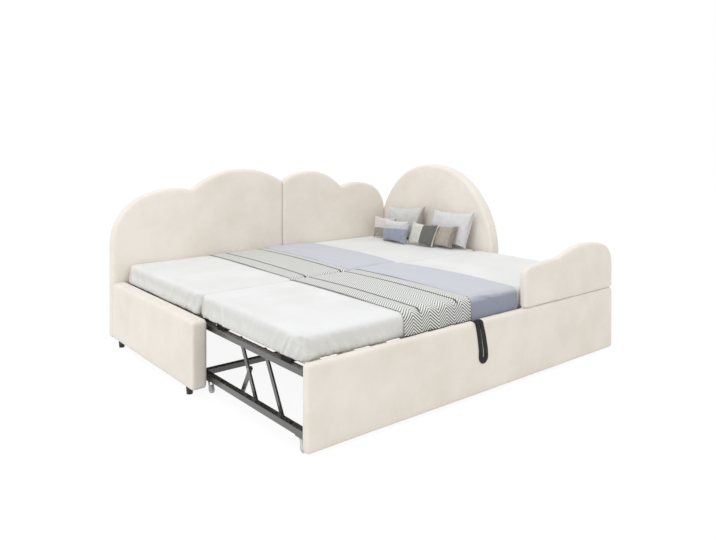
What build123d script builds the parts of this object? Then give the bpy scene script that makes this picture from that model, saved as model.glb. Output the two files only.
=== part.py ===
from build123d import *
from math import atan2, cos, degrees, hypot, radians, sin, sqrt
import os

os.makedirs("parts", exist_ok=True)

# Driving sizes, millimetres. X runs along the bed, Y towards its back, Z up.
bed_length = 2097.0
bed_depth = 1081.0
headboard_top = 966.0
low_panel_top = 343.0
foot_height = 35.0
end_thickness = 76.0
back_thickness = 60.0
padding_round = 12.0
pull_out = 782.0
trundle_reach = 113.0

# Upholstered back, two boards with cloud lobes. Shares are of the bed's length, from its left end.
board_gap = 1.5
joint_share = 0.53743
joint_height = 861.0
left_shoulder_height = 560.0
left_crest_share = 0.06676
left_crest_height = 798.0
left_valley_share = 0.23128
left_valley_height = 838.0
left_lobe_share = 0.38388
left_lobe_height = 955.0
right_lobe_share = 0.64473
right_lobe_height = 924.0
right_valley_share = 0.7711
right_valley_height = 803.0
right_crest_share = 0.90272
right_crest_height = 806.0
right_shoulder_height = 620.0
valley_round = 22.0

# Front panel of the trundle and its cloud guard rail
panel_thickness = 40.0
panel_clearance = 2.0
panel_bottom = 16.0
guard_start_share = 0.6371
guard_shoulder = 485.0
guard_low_crest_share = 0.65999
guard_low_crest_height = 540.0
guard_valley_share = 0.76776
guard_valley_height = 557.0
guard_high_crest_share = 0.95851
guard_high_crest_height = 588.0
guard_end_height = 478.0
guard_valley_round = 88.0

# Mattresses
mattress_bottom = 335.0
mattress_height = 100.0
mattress_end_gap = 12.5
mattress_crown = 6.0
mattress_bulge = 3.0
mattress_top_round = 30.0
mattress_hem_round = 6.0
mattress_corner = 52.0
seam_setback = 110.0
seam_gap = 0.8
back_gap = 3.0
front_gap = 12.0

# Steel frame of the trundle
base_rail_bottom = 61.0
rail_height = 26.0
rail_width = 28.0
channel_wall = 2.5
tube_wall = 1.5
tube_round = 2.0
plate_corner = 4.0
end_clearance = 12.0
deck_rail_bottom = 287.0
bearer_height = 16.0
bearer_places = (-58.0, -588.0)
block_height = 8.0
block_length = 78.0
block_lip = 3.0
deck_front_gap = 6.0
deck_back_gap = 3.0

# Lift linkage, one set at each end
lower_pivot = base_rail_bottom + rail_height / 2
upper_pivot = deck_rail_bottom + rail_height / 2
lift_pivot_place = -217.0
guide_pivot_place = -415.0
arm_spread = 130.0
arm_width = 20.0
arm_thickness = 8.0
arm_gap = 2.0
arm_clearance = 3.0
pin_radius = 5.0
pin_collar = 8.0
pin_head = 2.0
axle_radius = 4.0
running_fit = 0.08
press_gap = 0.02
side_play = 0.3
roller_play = 0.3
roller_width = 16.0
axle_end_gap = 1.0
bumper_places = (-80.0, -640.0)
deck_drop = 196.0
bumper_radius = 7.0

# Casters
wheel_radius = 18.0
wheel_width = 15.0
wheel_axle_radius = 3.0
caster_trail = 8.0
caster_inset = 18.0
rear_caster_place = 30.0
front_caster_place = -712.0
plate_thickness = 4.0
stem_radius = 6.0

# Slats
slat_width = 62.0
slat_thickness = 14.0
slat_round = 3.0
daybed_slat_count = 13
deck_slat_count = 12
deck_slat_inset = 26.0
daybed_rail_height = 40.0
daybed_rail_width = 30.0
rail_gap = 5.0
bracket_thickness = 3.0
bolt_radius = 4.0
bolt_head = 7.5

# Pull strap
strap_width = 17.0
strap_slot = 13.0
strap_thickness = 3.0
strap_drop = 192.0
strap_lean = 26.0
strap_place = 1003.0
strap_stand_off = 1.5

# Bedding, from the left end of the bed
throw_start = 562.0
throw_width = 430.0
throw_thickness = 3.0
blanket_start = 996.0
blanket_width = 352.0
blanket_thickness = 4.0
cloth_drop_end = 341.0
fold_depth = 3.0
fold_count = 3

# Frame of reference: the middle of the whole outline, on the floor
strap_reach = strap_thickness + strap_stand_off
left = -bed_length / 2
right = bed_length / 2
front = (pull_out + strap_reach - bed_depth) / 2
back = front + bed_depth
inner_left = left + end_thickness
inner_right = right - end_thickness
inner_back = back - back_thickness
mattress_length = inner_right - inner_left - 2 * mattress_end_gap
mattress_top = mattress_bottom + mattress_height
panel_front = front - pull_out
panel_back = panel_front + panel_thickness
trundle_back = front + trundle_reach
seam = front + seam_setback


def plane_at_x(x):
    """A sketch plane across the bed: its first axis is Y and its second is Z."""
    return Plane.YZ.offset(x)


def plane_at_y(y):
    """A sketch plane along the bed: its first axis is X, its second is Z, and it faces the front."""
    return Plane.XZ.offset(-y)


def plane_at_z(z):
    """A level sketch plane."""
    return Plane.XY.offset(z)


def save(piece, name):
    """Label one finished piece and write it as a STEP file."""
    piece.label = name
    export_step(piece, f"parts/{name}.step")


def middle(low, high):
    return (low + high) / 2


# Low upholstered end panel on the left
with BuildPart() as end_panel:
    with BuildSketch(plane_at_z(foot_height)):
        with Locations((middle(left, inner_left), middle(front, inner_back))):
            Rectangle(end_thickness, inner_back - front)
    extrude(amount=low_panel_top - foot_height)
    fillet(end_panel.edges(), padding_round)

# Round-arched headboard on the right: a half circle as wide as the bed is deep
arch_radius = bed_depth / 2
arch_start = headboard_top - arch_radius
with BuildPart() as headboard:
    with BuildSketch(plane_at_x(inner_right)):
        with BuildLine():
            Polyline((front, arch_start), (front, foot_height), (back, foot_height), (back, arch_start))
            ThreePointArc((back, arch_start), (middle(front, back), headboard_top), (front, arch_start))
        make_face()
    extrude(amount=end_thickness)
    fillet(headboard.edges(), padding_round)


def along_bed(length_share, height):
    """An outline point at a share of the bed's length from its left end."""
    return (left + length_share * bed_length, height)


board_joint = along_bed(joint_share, joint_height)
left_crest = along_bed(left_crest_share, left_crest_height)
left_valley = along_bed(left_valley_share, left_valley_height)
left_lobe_peak = along_bed(left_lobe_share, left_lobe_height)
right_lobe_peak = along_bed(right_lobe_share, right_lobe_height)
right_valley = along_bed(right_valley_share, right_valley_height)
right_crest = along_bed(right_crest_share, right_crest_height)
guard_low_crest = along_bed(guard_low_crest_share, guard_low_crest_height)
guard_valley = along_bed(guard_valley_share, guard_valley_height)
guard_high_crest = along_bed(guard_high_crest_share, guard_high_crest_height)

# Back boards: each lobe is an arc, and the outer shoulders turn into the upright ends
with BuildPart() as back_panel_left:
    with BuildSketch(plane_at_y(back)):
        with BuildLine():
            joint_x = board_joint[0] - board_gap / 2
            Polyline(
                (left, left_shoulder_height), (left, foot_height), (joint_x, foot_height), (joint_x, joint_height)
            )
            ThreePointArc((joint_x, joint_height), left_lobe_peak, left_valley)
            shoulder = TangentArc((left, left_shoulder_height), left_crest, tangent=(0, 1))
            TangentArc(shoulder @ 1, left_valley, tangent=shoulder % 1)
        make_face()
        fillet(vertices().sort_by_distance(left_valley)[0], valley_round)
    extrude(amount=back_thickness)
    fillet(back_panel_left.faces().filter_by(Axis.Y).edges(), padding_round)

with BuildPart() as back_panel_right:
    with BuildSketch(plane_at_y(back)):
        with BuildLine():
            joint_x = board_joint[0] + board_gap / 2
            Polyline(
                (joint_x, joint_height), (joint_x, foot_height), (inner_right, foot_height),
                (inner_right, right_shoulder_height)
            )
            ThreePointArc((joint_x, joint_height), right_lobe_peak, right_valley)
            shoulder = TangentArc((inner_right, right_shoulder_height), right_crest, tangent=(0, 1))
            TangentArc(shoulder @ 1, right_valley, tangent=shoulder % 1)
        make_face()
        fillet(vertices().sort_by_distance(right_valley)[0], valley_round)
    extrude(amount=back_thickness)
    fillet(back_panel_right.faces().filter_by(Axis.Y).edges(), padding_round)

# Tapered feet under the panels, set in from the outer faces
foot_inset = 26.0
foot_top_radius = 17.0
foot_tip_radius = 14.0
foot_from_front = 79.0
board_foot_inset = 180.0
end_foot_y = (front + foot_from_front, inner_back - foot_from_front)
board_foot_x = (
    left + board_foot_inset, board_joint[0] - board_foot_inset, board_joint[0] + board_foot_inset,
    inner_right - board_foot_inset,
)
end_feet = [(x, y) for x in (left + foot_inset, right - foot_inset) for y in end_foot_y]
board_feet = [(x, middle(inner_back, back)) for x in board_foot_x]
with BuildPart() as panel_feet:
    with BuildSketch():
        with Locations(*end_feet, *board_feet):
            Circle(foot_tip_radius)
    extrude(amount=foot_height, taper=-degrees(atan2(foot_top_radius - foot_tip_radius, foot_height)))


def box_tube(plane, centre, width, height, length, wall):
    """A rectangular steel tube, open at both ends."""
    with BuildPart() as tube:
        with BuildSketch(plane):
            with Locations(centre):
                RectangleRounded(width, height, tube_round)
                Rectangle(width - 2 * wall, height - 2 * wall, mode=Mode.SUBTRACT)
        extrude(amount=length)
    return tube.part


# Daybed slat deck: two rails between the ends, plates that hold them, and slats from rail to rail
daybed_rail_top = mattress_bottom - slat_thickness
daybed_rail_z = daybed_rail_top - daybed_rail_height / 2
rail_clear_of_trundle = trundle_back + rail_gap
front_rail_y = rail_clear_of_trundle + daybed_rail_width / 2
rear_rail_y = inner_back - daybed_rail_width / 2
daybed_rail_start = inner_left + bracket_thickness
daybed_rail_length = inner_right - inner_left - 2 * bracket_thickness
daybed_front_rail = box_tube(
    plane_at_x(daybed_rail_start), (front_rail_y, daybed_rail_z), daybed_rail_width, daybed_rail_height,
    daybed_rail_length, tube_wall,
)
daybed_rear_rail = box_tube(
    plane_at_x(daybed_rail_start), (rear_rail_y, daybed_rail_z), daybed_rail_width, daybed_rail_height,
    daybed_rail_length, tube_wall,
)

daybed_slat_length = inner_back - back_gap - rail_clear_of_trundle
daybed_slat_pitch = (mattress_length - 2 * slat_width) / (daybed_slat_count - 1)
with BuildPart() as daybed_slats:
    with BuildSketch(plane_at_z(daybed_rail_top)):
        with Locations((0, rail_clear_of_trundle + daybed_slat_length / 2)):
            with GridLocations(daybed_slat_pitch, 0, daybed_slat_count, 1):
                Rectangle(slat_width, daybed_slat_length)
    extrude(amount=slat_thickness)
    fillet(daybed_slats.edges().filter_by(Axis.Y).group_by(Axis.Z)[-1], slat_round)

# Steel plates of the daybed: rail ends, board joint and corners, all behind or under the mattress
end_plate_width = 70.0
end_plate_height = 70.0
joint_plate_width = 120.0
joint_plate_height = 60.0
joint_plate_heights = (110.0, 220.0)
corner_leg = 45.0
corner_height = 110.0
corner_middle = 165.0
end_plate_y = (
    rail_clear_of_trundle + end_plate_width / 2, inner_back - end_plate_width / 2,
)
with BuildPart() as frame_brackets:
    for plate_x in (inner_left, inner_right - bracket_thickness):
        with BuildSketch(plane_at_x(plate_x)):
            with Locations(*[(y, daybed_rail_z) for y in end_plate_y]):
                Rectangle(end_plate_width, end_plate_height)
        extrude(amount=bracket_thickness)
    with BuildSketch(plane_at_y(inner_back)):
        with Locations(*[(board_joint[0], z) for z in joint_plate_heights]):
            RectangleRounded(joint_plate_width, joint_plate_height, plate_corner)
    extrude(amount=bracket_thickness)
    for corner_x, inward in ((inner_left, 1), (inner_right, -1)):
        with BuildSketch(plane_at_z(corner_middle - corner_height / 2)):
            with BuildLine():
                Polyline(
                    (corner_x, inner_back),
                    (corner_x + inward * corner_leg, inner_back),
                    (corner_x + inward * corner_leg, inner_back - bracket_thickness),
                    (corner_x + inward * bracket_thickness, inner_back - bracket_thickness),
                    (corner_x + inward * bracket_thickness, inner_back - corner_leg),
                    (corner_x, inner_back - corner_leg),
                    close=True,
                )
            make_face()
        extrude(amount=corner_height)

# Button-headed bolts on the plates
bolt_spread = 22.0
end_bolt_z = daybed_rail_z - end_plate_height / 2 + bolt_head + bracket_thickness
plate_bolt_spots = [(y, end_bolt_z) for y in end_plate_y]
joint_bolt_x = joint_plate_width / 2 - bolt_spread / 2 - bolt_head
joint_bolt_spots = [
    (board_joint[0] + side * joint_bolt_x, z) for side in (-1, 1) for z in joint_plate_heights
]
bolt_head_height = 4.0
with BuildPart() as frame_bolts:
    for head_plane, along in (
        (plane_at_x(inner_left + bracket_thickness), 1), (plane_at_x(inner_right - bracket_thickness), -1),
    ):
        with BuildSketch(head_plane):
            with Locations(*plate_bolt_spots):
                Circle(bolt_head)
        extrude(amount=along * bolt_head_height)
    with BuildSketch(plane_at_y(inner_back - bracket_thickness)):
        with Locations(*joint_bolt_spots):
            Circle(bolt_head)
    extrude(amount=bolt_head_height)

# Trundle front panel and the cloud guard rail that stands on it
panel_left = inner_left + panel_clearance
panel_right = right
with BuildPart() as trundle_front_panel:
    with BuildSketch(plane_at_z(panel_bottom)):
        with Locations((middle(panel_left, panel_right), middle(panel_front, panel_back))):
            Rectangle(panel_right - panel_left, panel_thickness)
    extrude(amount=low_panel_top - panel_bottom)
    fillet(trundle_front_panel.edges(), padding_round)

with BuildPart() as guard_rail:
    with BuildSketch(plane_at_y(panel_back)):
        with BuildLine():
            guard_left = left + guard_start_share * bed_length
            Polyline(
                (guard_left, guard_shoulder), (guard_left, low_panel_top), (panel_right, low_panel_top),
                (panel_right, guard_end_height),
            )
            shoulder = TangentArc((guard_left, guard_shoulder), guard_low_crest, tangent=(0, 1))
            TangentArc(shoulder @ 1, guard_valley, tangent=shoulder % 1)
            shoulder = TangentArc((panel_right, guard_end_height), guard_high_crest, tangent=(0, 1))
            TangentArc(shoulder @ 1, guard_valley, tangent=shoulder % 1)
        make_face()
        fillet(vertices().sort_by_distance(guard_valley)[0], guard_valley_round)
    extrude(amount=panel_thickness)
    rims = guard_rail.faces().filter_by(Axis.Y).edges()
    fillet(rims.filter_by(lambda edge: edge.center().Z > low_panel_top + padding_round), padding_round)

# Flat plates let into the back of the panel and the guard rail, which join the two
guard_plate_width = 60.0
guard_plate_height = 150.0
guard_plate_inset = 140.0
guard_plate_x = (guard_left + guard_plate_inset, middle(guard_left, panel_right), panel_right - 2 * guard_plate_inset)
with BuildPart() as guard_plates:
    with BuildSketch(plane_at_y(panel_back + bracket_thickness)):
        with Locations(*[(x, low_panel_top) for x in guard_plate_x]):
            RectangleRounded(guard_plate_width, guard_plate_height, plate_corner)
    extrude(amount=bracket_thickness)

# Base frame of the trundle: C-channel side rails that the lift rollers run in, and two cross tubes
rail_left = inner_left + end_clearance
rail_inner = rail_left + rail_width
base_rail_top = base_rail_bottom + rail_height
base_rail_length = trundle_back - panel_back


def side_channel():
    """The left base rail: its web faces out and its open side faces the middle of the bed."""
    with BuildPart() as rail:
        with BuildSketch(plane_at_y(trundle_back)):
            with Locations((rail_left + rail_width / 2, lower_pivot)):
                Rectangle(rail_width, rail_height)
            with Locations((rail_left + channel_wall + rail_width / 2, lower_pivot)):
                Rectangle(rail_width, rail_height - 2 * channel_wall, mode=Mode.SUBTRACT)
        extrude(amount=base_rail_length)
    return rail.part


base_rail_left = side_channel()
base_rail_right = mirror(base_rail_left, about=Plane.YZ)
cross_length = -2 * rail_inner
base_rail_front = box_tube(
    plane_at_x(rail_inner), (panel_back + rail_width / 2, lower_pivot), rail_width, rail_height, cross_length,
    tube_wall,
)
base_rail_rear = box_tube(
    plane_at_x(rail_inner), (trundle_back - rail_width / 2, lower_pivot), rail_width, rail_height, cross_length,
    tube_wall,
)

# Plates under the base: corner gussets, caster plates and the angles that hold the front panel
gusset_leg = 50.0
caster_plate_width = 36.0
caster_plate_length = 48.0
swivel_x = rail_left + caster_inset
caster_y = {"rear": front + rear_caster_place, "front": front + front_caster_place}
plate_bottom = base_rail_bottom - plate_thickness
angle_height = 34.0
angle_width = 80.0
angle_count = 3
angle_pitch = 600.0
with BuildPart() as base_brackets:
    for side in (-1, 1):
        outer_x = side * rail_left
        inner_x = side * (rail_left + gusset_leg)
        with BuildSketch(plane_at_z(base_rail_bottom)):
            with BuildLine():
                Polyline(
                    (outer_x, trundle_back), (inner_x, trundle_back), (inner_x, trundle_back - rail_width),
                    (side * rail_inner, trundle_back - gusset_leg), (outer_x, trundle_back - gusset_leg), close=True,
                )
            make_face()
        extrude(amount=-bracket_thickness)
        with BuildSketch(plane_at_z(base_rail_bottom)):
            with Locations(*[(side * swivel_x, y) for y in caster_y.values()]):
                Rectangle(caster_plate_width, caster_plate_length)
                Circle(stem_radius + running_fit, mode=Mode.SUBTRACT)
        extrude(amount=-plate_thickness)
    with BuildSketch(plane_at_z(base_rail_bottom)):
        with Locations((0, panel_back + rail_width / 2)):
            with GridLocations(angle_pitch, 0, angle_count, 1):
                Rectangle(angle_width, rail_width)
    extrude(amount=-bracket_thickness)
    with BuildSketch(plane_at_y(panel_back + bracket_thickness)):
        with Locations((0, base_rail_bottom - bracket_thickness - angle_height / 2)):
            with GridLocations(angle_pitch, 0, angle_count, 1):
                Rectangle(angle_width, angle_height)
    extrude(amount=bracket_thickness)

# Swivel casters: a forked bracket with its stem in the plate, and a wheel on the fork's axle
fork_top = plate_bottom - side_play
crown_thickness = 3.0
cheek_thickness = 2.5
cheek_top_half = 9.0
cheek_end_radius = 7.0
crown_radius = 15.0
hub_radius = 7.0
wheel_edge = 3.0
cheek_gap = wheel_width / 2 + side_play


def caster(swivel_at_x, swivel_at_y):
    """The fork and the wheel of one caster, with the wheel trailing towards the front."""
    axle_y = swivel_at_y - caster_trail
    with BuildPart() as fork:
        with BuildSketch(plane_at_z(fork_top)):
            with Locations((swivel_at_x, swivel_at_y)):
                Circle(crown_radius)
        extrude(amount=-crown_thickness)
        with BuildSketch(plane_at_z(fork_top)):
            with Locations((swivel_at_x, swivel_at_y)):
                Circle(stem_radius)
        extrude(amount=base_rail_bottom - fork_top - side_play)
        for side in (-1, 1):
            inner_face = swivel_at_x + side * cheek_gap
            with BuildSketch(plane_at_x(inner_face)):
                with BuildLine():
                    crown_under = fork_top - crown_thickness
                    Polyline(
                        (axle_y - cheek_end_radius, wheel_radius), (swivel_at_y - cheek_top_half, crown_under),
                        (swivel_at_y + cheek_top_half, crown_under), (axle_y + cheek_end_radius, wheel_radius),
                    )
                    ThreePointArc(
                        (axle_y + cheek_end_radius, wheel_radius), (axle_y, wheel_radius - cheek_end_radius),
                        (axle_y - cheek_end_radius, wheel_radius),
                    )
                make_face()
            extrude(amount=side * cheek_thickness)
        with BuildSketch(plane_at_x(swivel_at_x - cheek_gap)):
            with Locations((axle_y, wheel_radius)):
                Circle(wheel_axle_radius)
        extrude(amount=2 * cheek_gap)
    with BuildPart() as wheel:
        with BuildSketch(plane_at_x(swivel_at_x - wheel_width / 2)):
            with Locations((axle_y, wheel_radius)):
                Circle(wheel_radius)
        extrude(amount=wheel_width)
        fillet(wheel.edges(), wheel_edge)
        with BuildSketch(plane_at_x(swivel_at_x - wheel_width / 2)):
            with Locations((axle_y, wheel_radius)):
                Circle(wheel_axle_radius + running_fit)
        extrude(amount=wheel_width, mode=Mode.SUBTRACT)
    return fork.part, wheel.part


casters = {}
for end_name, end_side in (("left", 1), ("right", -1)):
    for place_name, place_y in caster_y.items():
        casters[f"{place_name}_{end_name}"] = caster(end_side * swivel_x, place_y)

# Lift linkage. The long arm hangs from the deck and its roller runs in the base rail. The short
# arm joins the middle of the long arm to the base, straight below the long arm's upper pivot, and
# is half as long, so the deck rises and falls on an upright line. The guide arm keeps it level.
deck_pivot = (front + lift_pivot_place, upper_pivot)
base_pivot = (front + lift_pivot_place, lower_pivot)
lift_foot = (front + lift_pivot_place - arm_spread, lower_pivot)
knee = (middle(deck_pivot[0], lift_foot[0]), middle(upper_pivot, lower_pivot))
guide_pivot = (front + guide_pivot_place, upper_pivot)
guide_foot = (front + guide_pivot_place - arm_spread, lower_pivot)
long_plane = rail_inner + arm_clearance
short_plane = long_plane + arm_thickness + arm_gap
channel_inside = rail_left + channel_wall
roller_radius = rail_height / 2 - channel_wall - roller_play
axle_tip = channel_inside + axle_end_gap


def flat_bar(x, start, end, holes):
    """A flat arm with round ends from one pivot to another, with a hole at each pivot named."""
    reach = hypot(end[0] - start[0], end[1] - start[1])
    slope = degrees(atan2(end[1] - start[1], end[0] - start[0]))
    with BuildPart() as bar:
        with BuildSketch(plane_at_x(x)):
            with Locations((middle(start[0], end[0]), middle(start[1], end[1]))):
                SlotCenterToCenter(reach, arm_width, rotation=slope)
            for centre, radius in holes:
                with Locations(centre):
                    Circle(radius, mode=Mode.SUBTRACT)
        extrude(amount=arm_thickness)
    return bar.part


def foot_arm(x, start, foot, holes):
    """A flat arm whose lower end carries the axle of a roller, which points into the base rail."""
    with BuildPart() as arm:
        add(flat_bar(x, start, foot, holes))
        with BuildSketch(plane_at_x(axle_tip)):
            with Locations(foot):
                Circle(axle_radius)
        extrude(amount=x - axle_tip)
    return arm.part


def stepped_pin(start_x, shaft_x, end_x, centre):
    """A pin with a collar from where it is fixed to where its arm starts, then a shaft and a head."""
    with BuildPart() as pin:
        for low, high, radius in (
            (start_x, shaft_x - side_play, pin_collar), (shaft_x - side_play, end_x + side_play, pin_radius),
            (end_x + side_play, end_x + side_play + pin_head, pin_collar),
        ):
            with BuildSketch(plane_at_x(low)):
                with Locations(centre):
                    Circle(radius)
            extrude(amount=high - low)
    return pin.part


def roller(foot):
    """The nylon roller on the foot of an arm."""
    with BuildPart() as wheel:
        with BuildSketch(plane_at_x(axle_tip + axle_end_gap)):
            with Locations(foot):
                Circle(roller_radius)
                Circle(axle_radius + running_fit, mode=Mode.SUBTRACT)
        extrude(amount=roller_width)
    return wheel.part


def both_ends(*pieces):
    """The given left-hand pieces together with their right-hand twins."""
    with BuildPart() as pair:
        for piece in pieces:
            add(piece)
            mirror(piece, about=Plane.YZ)
    return pair.part


arm_hole = pin_radius + running_fit
long_arm_left = foot_arm(
    long_plane, deck_pivot, lift_foot, ((deck_pivot, arm_hole), (knee, pin_radius + press_gap)),
)
short_arm_left = flat_bar(short_plane, base_pivot, knee, ((base_pivot, arm_hole), (knee, arm_hole)))
guide_arm_left = foot_arm(long_plane, guide_pivot, guide_foot, ((guide_pivot, arm_hole),))
lift_rollers = both_ends(roller(lift_foot))
guide_rollers = both_ends(roller(guide_foot))
base_pivot_pins = both_ends(
    stepped_pin(channel_inside, short_plane, short_plane + arm_thickness, base_pivot),
)
deck_pivot_pins = both_ends(
    stepped_pin(rail_inner, long_plane, long_plane + arm_thickness, deck_pivot),
    stepped_pin(rail_inner, long_plane, long_plane + arm_thickness, guide_pivot),
)

# Knee pins sit fast in the long arms, and the short arms turn on them
with BuildPart() as knee_pin:
    long_face = long_plane + arm_thickness
    short_face = short_plane + arm_thickness + side_play
    for low, high, radius in (
        (long_plane, long_face, pin_radius), (long_face, short_plane - side_play, pin_collar),
        (short_plane - side_play, short_face, pin_radius), (short_face, short_face + pin_head, pin_collar),
    ):
        with BuildSketch(plane_at_x(low)):
            with Locations(knee):
                Circle(radius)
        extrude(amount=high - low)
knee_pins = both_ends(knee_pin.part)

# Deck of the trundle: a tube frame, two bearers, plastic blocks and slats
deck_front = panel_back + deck_front_gap
deck_back = trundle_back - deck_back_gap
deck_length = deck_back - deck_front
deck_rail_top = deck_rail_bottom + rail_height
deck_rail_left = box_tube(
    plane_at_y(deck_back), (middle(rail_left, rail_inner), upper_pivot), rail_width, rail_height, deck_length,
    tube_wall,
)
deck_rail_right = mirror(deck_rail_left, about=Plane.YZ)
with BuildPart() as deck_end_rails:
    for end_y in (deck_front + rail_width / 2, deck_back - rail_width / 2):
        add(box_tube(
            plane_at_x(rail_inner), (end_y, upper_pivot), rail_width, rail_height, cross_length, tube_wall,
        ))

bearer_z = deck_rail_top - bearer_height / 2
bearer_y = [front + place for place in bearer_places]
with BuildPart() as deck_bearers:
    for y in bearer_y:
        add(box_tube(plane_at_x(rail_inner), (y, bearer_z), rail_width, bearer_height, cross_length, tube_wall))

deck_slat_pitch = (mattress_length - 2 * deck_slat_inset - slat_width) / (deck_slat_count - 1)
slat_bottom = deck_rail_top + block_height
with BuildPart() as slat_blocks:
    for start_z, width, height, mode in (
        (deck_rail_top, slat_width + 2 * block_lip, block_height + slat_thickness, Mode.ADD),
        (slat_bottom, slat_width, slat_thickness, Mode.SUBTRACT),
    ):
        with BuildSketch(plane_at_z(start_z)):
            for y in bearer_y:
                with Locations((0, y)):
                    with GridLocations(deck_slat_pitch, 0, deck_slat_count, 1):
                        Rectangle(width, block_length)
        extrude(amount=height, mode=mode)

deck_slat_front = panel_back + front_gap
deck_slat_back = seam - seam_gap / 2
with BuildPart() as deck_slats:
    with BuildSketch(plane_at_z(slat_bottom)):
        with Locations((0, middle(deck_slat_front, deck_slat_back))):
            with GridLocations(deck_slat_pitch, 0, deck_slat_count, 1):
                Rectangle(slat_width, deck_slat_back - deck_slat_front)
    extrude(amount=slat_thickness)
    fillet(deck_slats.edges().filter_by(Axis.Y).group_by(Axis.Z)[-1], slat_round)

# Rubber bumpers on the base rails stop the deck just clear of the base
bumper_y = [front + place for place in bumper_places]
bumper_height = deck_rail_bottom - deck_drop - base_rail_top - side_play
with BuildPart() as deck_bumpers:
    with BuildSketch(plane_at_z(base_rail_top)):
        with Locations(*[(side * middle(rail_left, rail_inner), y) for side in (-1, 1) for y in bumper_y]):
            Circle(bumper_radius)
    extrude(amount=bumper_height)


# Mattresses: a crowned top, sides that swell a little between the seams, and rounded corners
def mattress_outline(front_y, back_y):
    """The cross-section of a mattress, in Y and Z."""
    with BuildSketch() as outline:
        with BuildLine():
            low_front = (front_y + mattress_bulge, mattress_bottom)
            low_back = (back_y - mattress_bulge, mattress_bottom)
            top_front = (front_y + mattress_bulge, mattress_top)
            top_back = (back_y - mattress_bulge, mattress_top)
            half_height = middle(mattress_bottom, mattress_top)
            Line(low_front, low_back)
            ThreePointArc(low_back, (back_y, half_height), top_back)
            ThreePointArc(top_back, (middle(front_y, back_y), mattress_top + mattress_crown), top_front)
            ThreePointArc(top_front, (front_y, half_height), low_front)
        make_face()
        fillet(vertices().group_by(Axis.Y)[-1], mattress_top_round)
        fillet(vertices().group_by(Axis.Y)[0], mattress_hem_round)
    return outline.sketch


def mattress(front_y, back_y):
    """A mattress between two places along Y, centred on the bed."""
    height = mattress_height + mattress_crown
    with BuildPart() as body:
        with BuildSketch(plane_at_x(-mattress_length / 2)):
            add(mattress_outline(front_y, back_y))
        extrude(amount=mattress_length)
        with BuildSketch(plane_at_z(mattress_bottom)):
            with Locations((0, middle(front_y, back_y))):
                RectangleRounded(mattress_length, back_y - front_y, mattress_corner)
        extrude(amount=height, mode=Mode.INTERSECT)
        with BuildSketch(plane_at_y(back_y)):
            with Locations((0, mattress_bottom + height / 2)):
                Rectangle(mattress_length, height)
            fillet(vertices().group_by(Axis.Y)[-1], mattress_top_round)
            fillet(vertices().group_by(Axis.Y)[0], mattress_hem_round)
        extrude(amount=back_y - front_y, mode=Mode.INTERSECT)
    return body.part


daybed_bedding = (seam + seam_gap / 2, inner_back - back_gap)
deck_bedding = (panel_back + front_gap, seam - seam_gap / 2)
daybed_mattress = mattress(*daybed_bedding)
deck_mattress = mattress(*deck_bedding)


# Throws and blankets lie over the mattresses. On the trundle they hang down its front side.
rim_share = 0.32
rim_end = mattress_top - mattress_top_round * rim_share


def cloth(start_x, width, thickness, bedding, front_end):
    """A flat cloth over a mattress, down to a height in front and over the rim at the back."""
    front_y, back_y = bedding
    outline = mattress_outline(front_y, back_y)
    with BuildPart() as piece:
        with BuildSketch(plane_at_x(start_x)):
            offset(outline, amount=thickness, mode=Mode.ADD)
            add(outline, mode=Mode.SUBTRACT)
            with Locations((front_y, front_end)):
                Rectangle(
                    middle(front_y, back_y) - front_y, mattress_height, align=(Align.CENTER, Align.MAX),
                    mode=Mode.SUBTRACT,
                )
            with Locations((middle(front_y, back_y), rim_end)):
                Rectangle(
                    back_y - front_y, mattress_height, align=(Align.MIN, Align.MAX), mode=Mode.SUBTRACT,
                )
            with Locations((middle(front_y, back_y), mattress_bottom)):
                Rectangle(
                    back_y - front_y, mattress_height, align=(Align.CENTER, Align.MAX), mode=Mode.SUBTRACT,
                )
        extrude(amount=width)
        if front_end < rim_end:
            fold_width = width / (2 * fold_count)
            hang_face = front_y - thickness
            fold_places = [start_x + fold_width * (2 * number + 1) for number in range(fold_count)]
            for fold_x in fold_places:
                for height_now, depth_now in ((front_end, fold_depth), (rim_end - thickness, fold_depth / 4)):
                    with BuildSketch(plane_at_z(height_now)):
                        with BuildLine():
                            root_y = hang_face + thickness / 2
                            Line((fold_x - fold_width / 2, root_y), (fold_x + fold_width / 2, root_y))
                            ThreePointArc(
                                (fold_x + fold_width / 2, root_y), (fold_x, hang_face - depth_now),
                                (fold_x - fold_width / 2, root_y),
                            )
                        make_face()
                loft()
            add(outline_bar(outline, start_x, width), mode=Mode.SUBTRACT)
    return piece.part


def outline_bar(outline, start_x, width):
    """The part of a mattress that lies under a cloth."""
    with BuildPart() as bar:
        with BuildSketch(plane_at_x(start_x)):
            add(outline)
        extrude(amount=width)
    return bar.part


throw_x = left + throw_start
blanket_x = left + blanket_start
daybed_throw = cloth(throw_x, throw_width, throw_thickness, daybed_bedding, rim_end)
deck_throw = cloth(throw_x, throw_width, throw_thickness, deck_bedding, cloth_drop_end)
daybed_blanket = cloth(blanket_x, blanket_width, blanket_thickness, daybed_bedding, rim_end)
deck_blanket = cloth(blanket_x, blanket_width, blanket_thickness, deck_bedding, cloth_drop_end)

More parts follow.
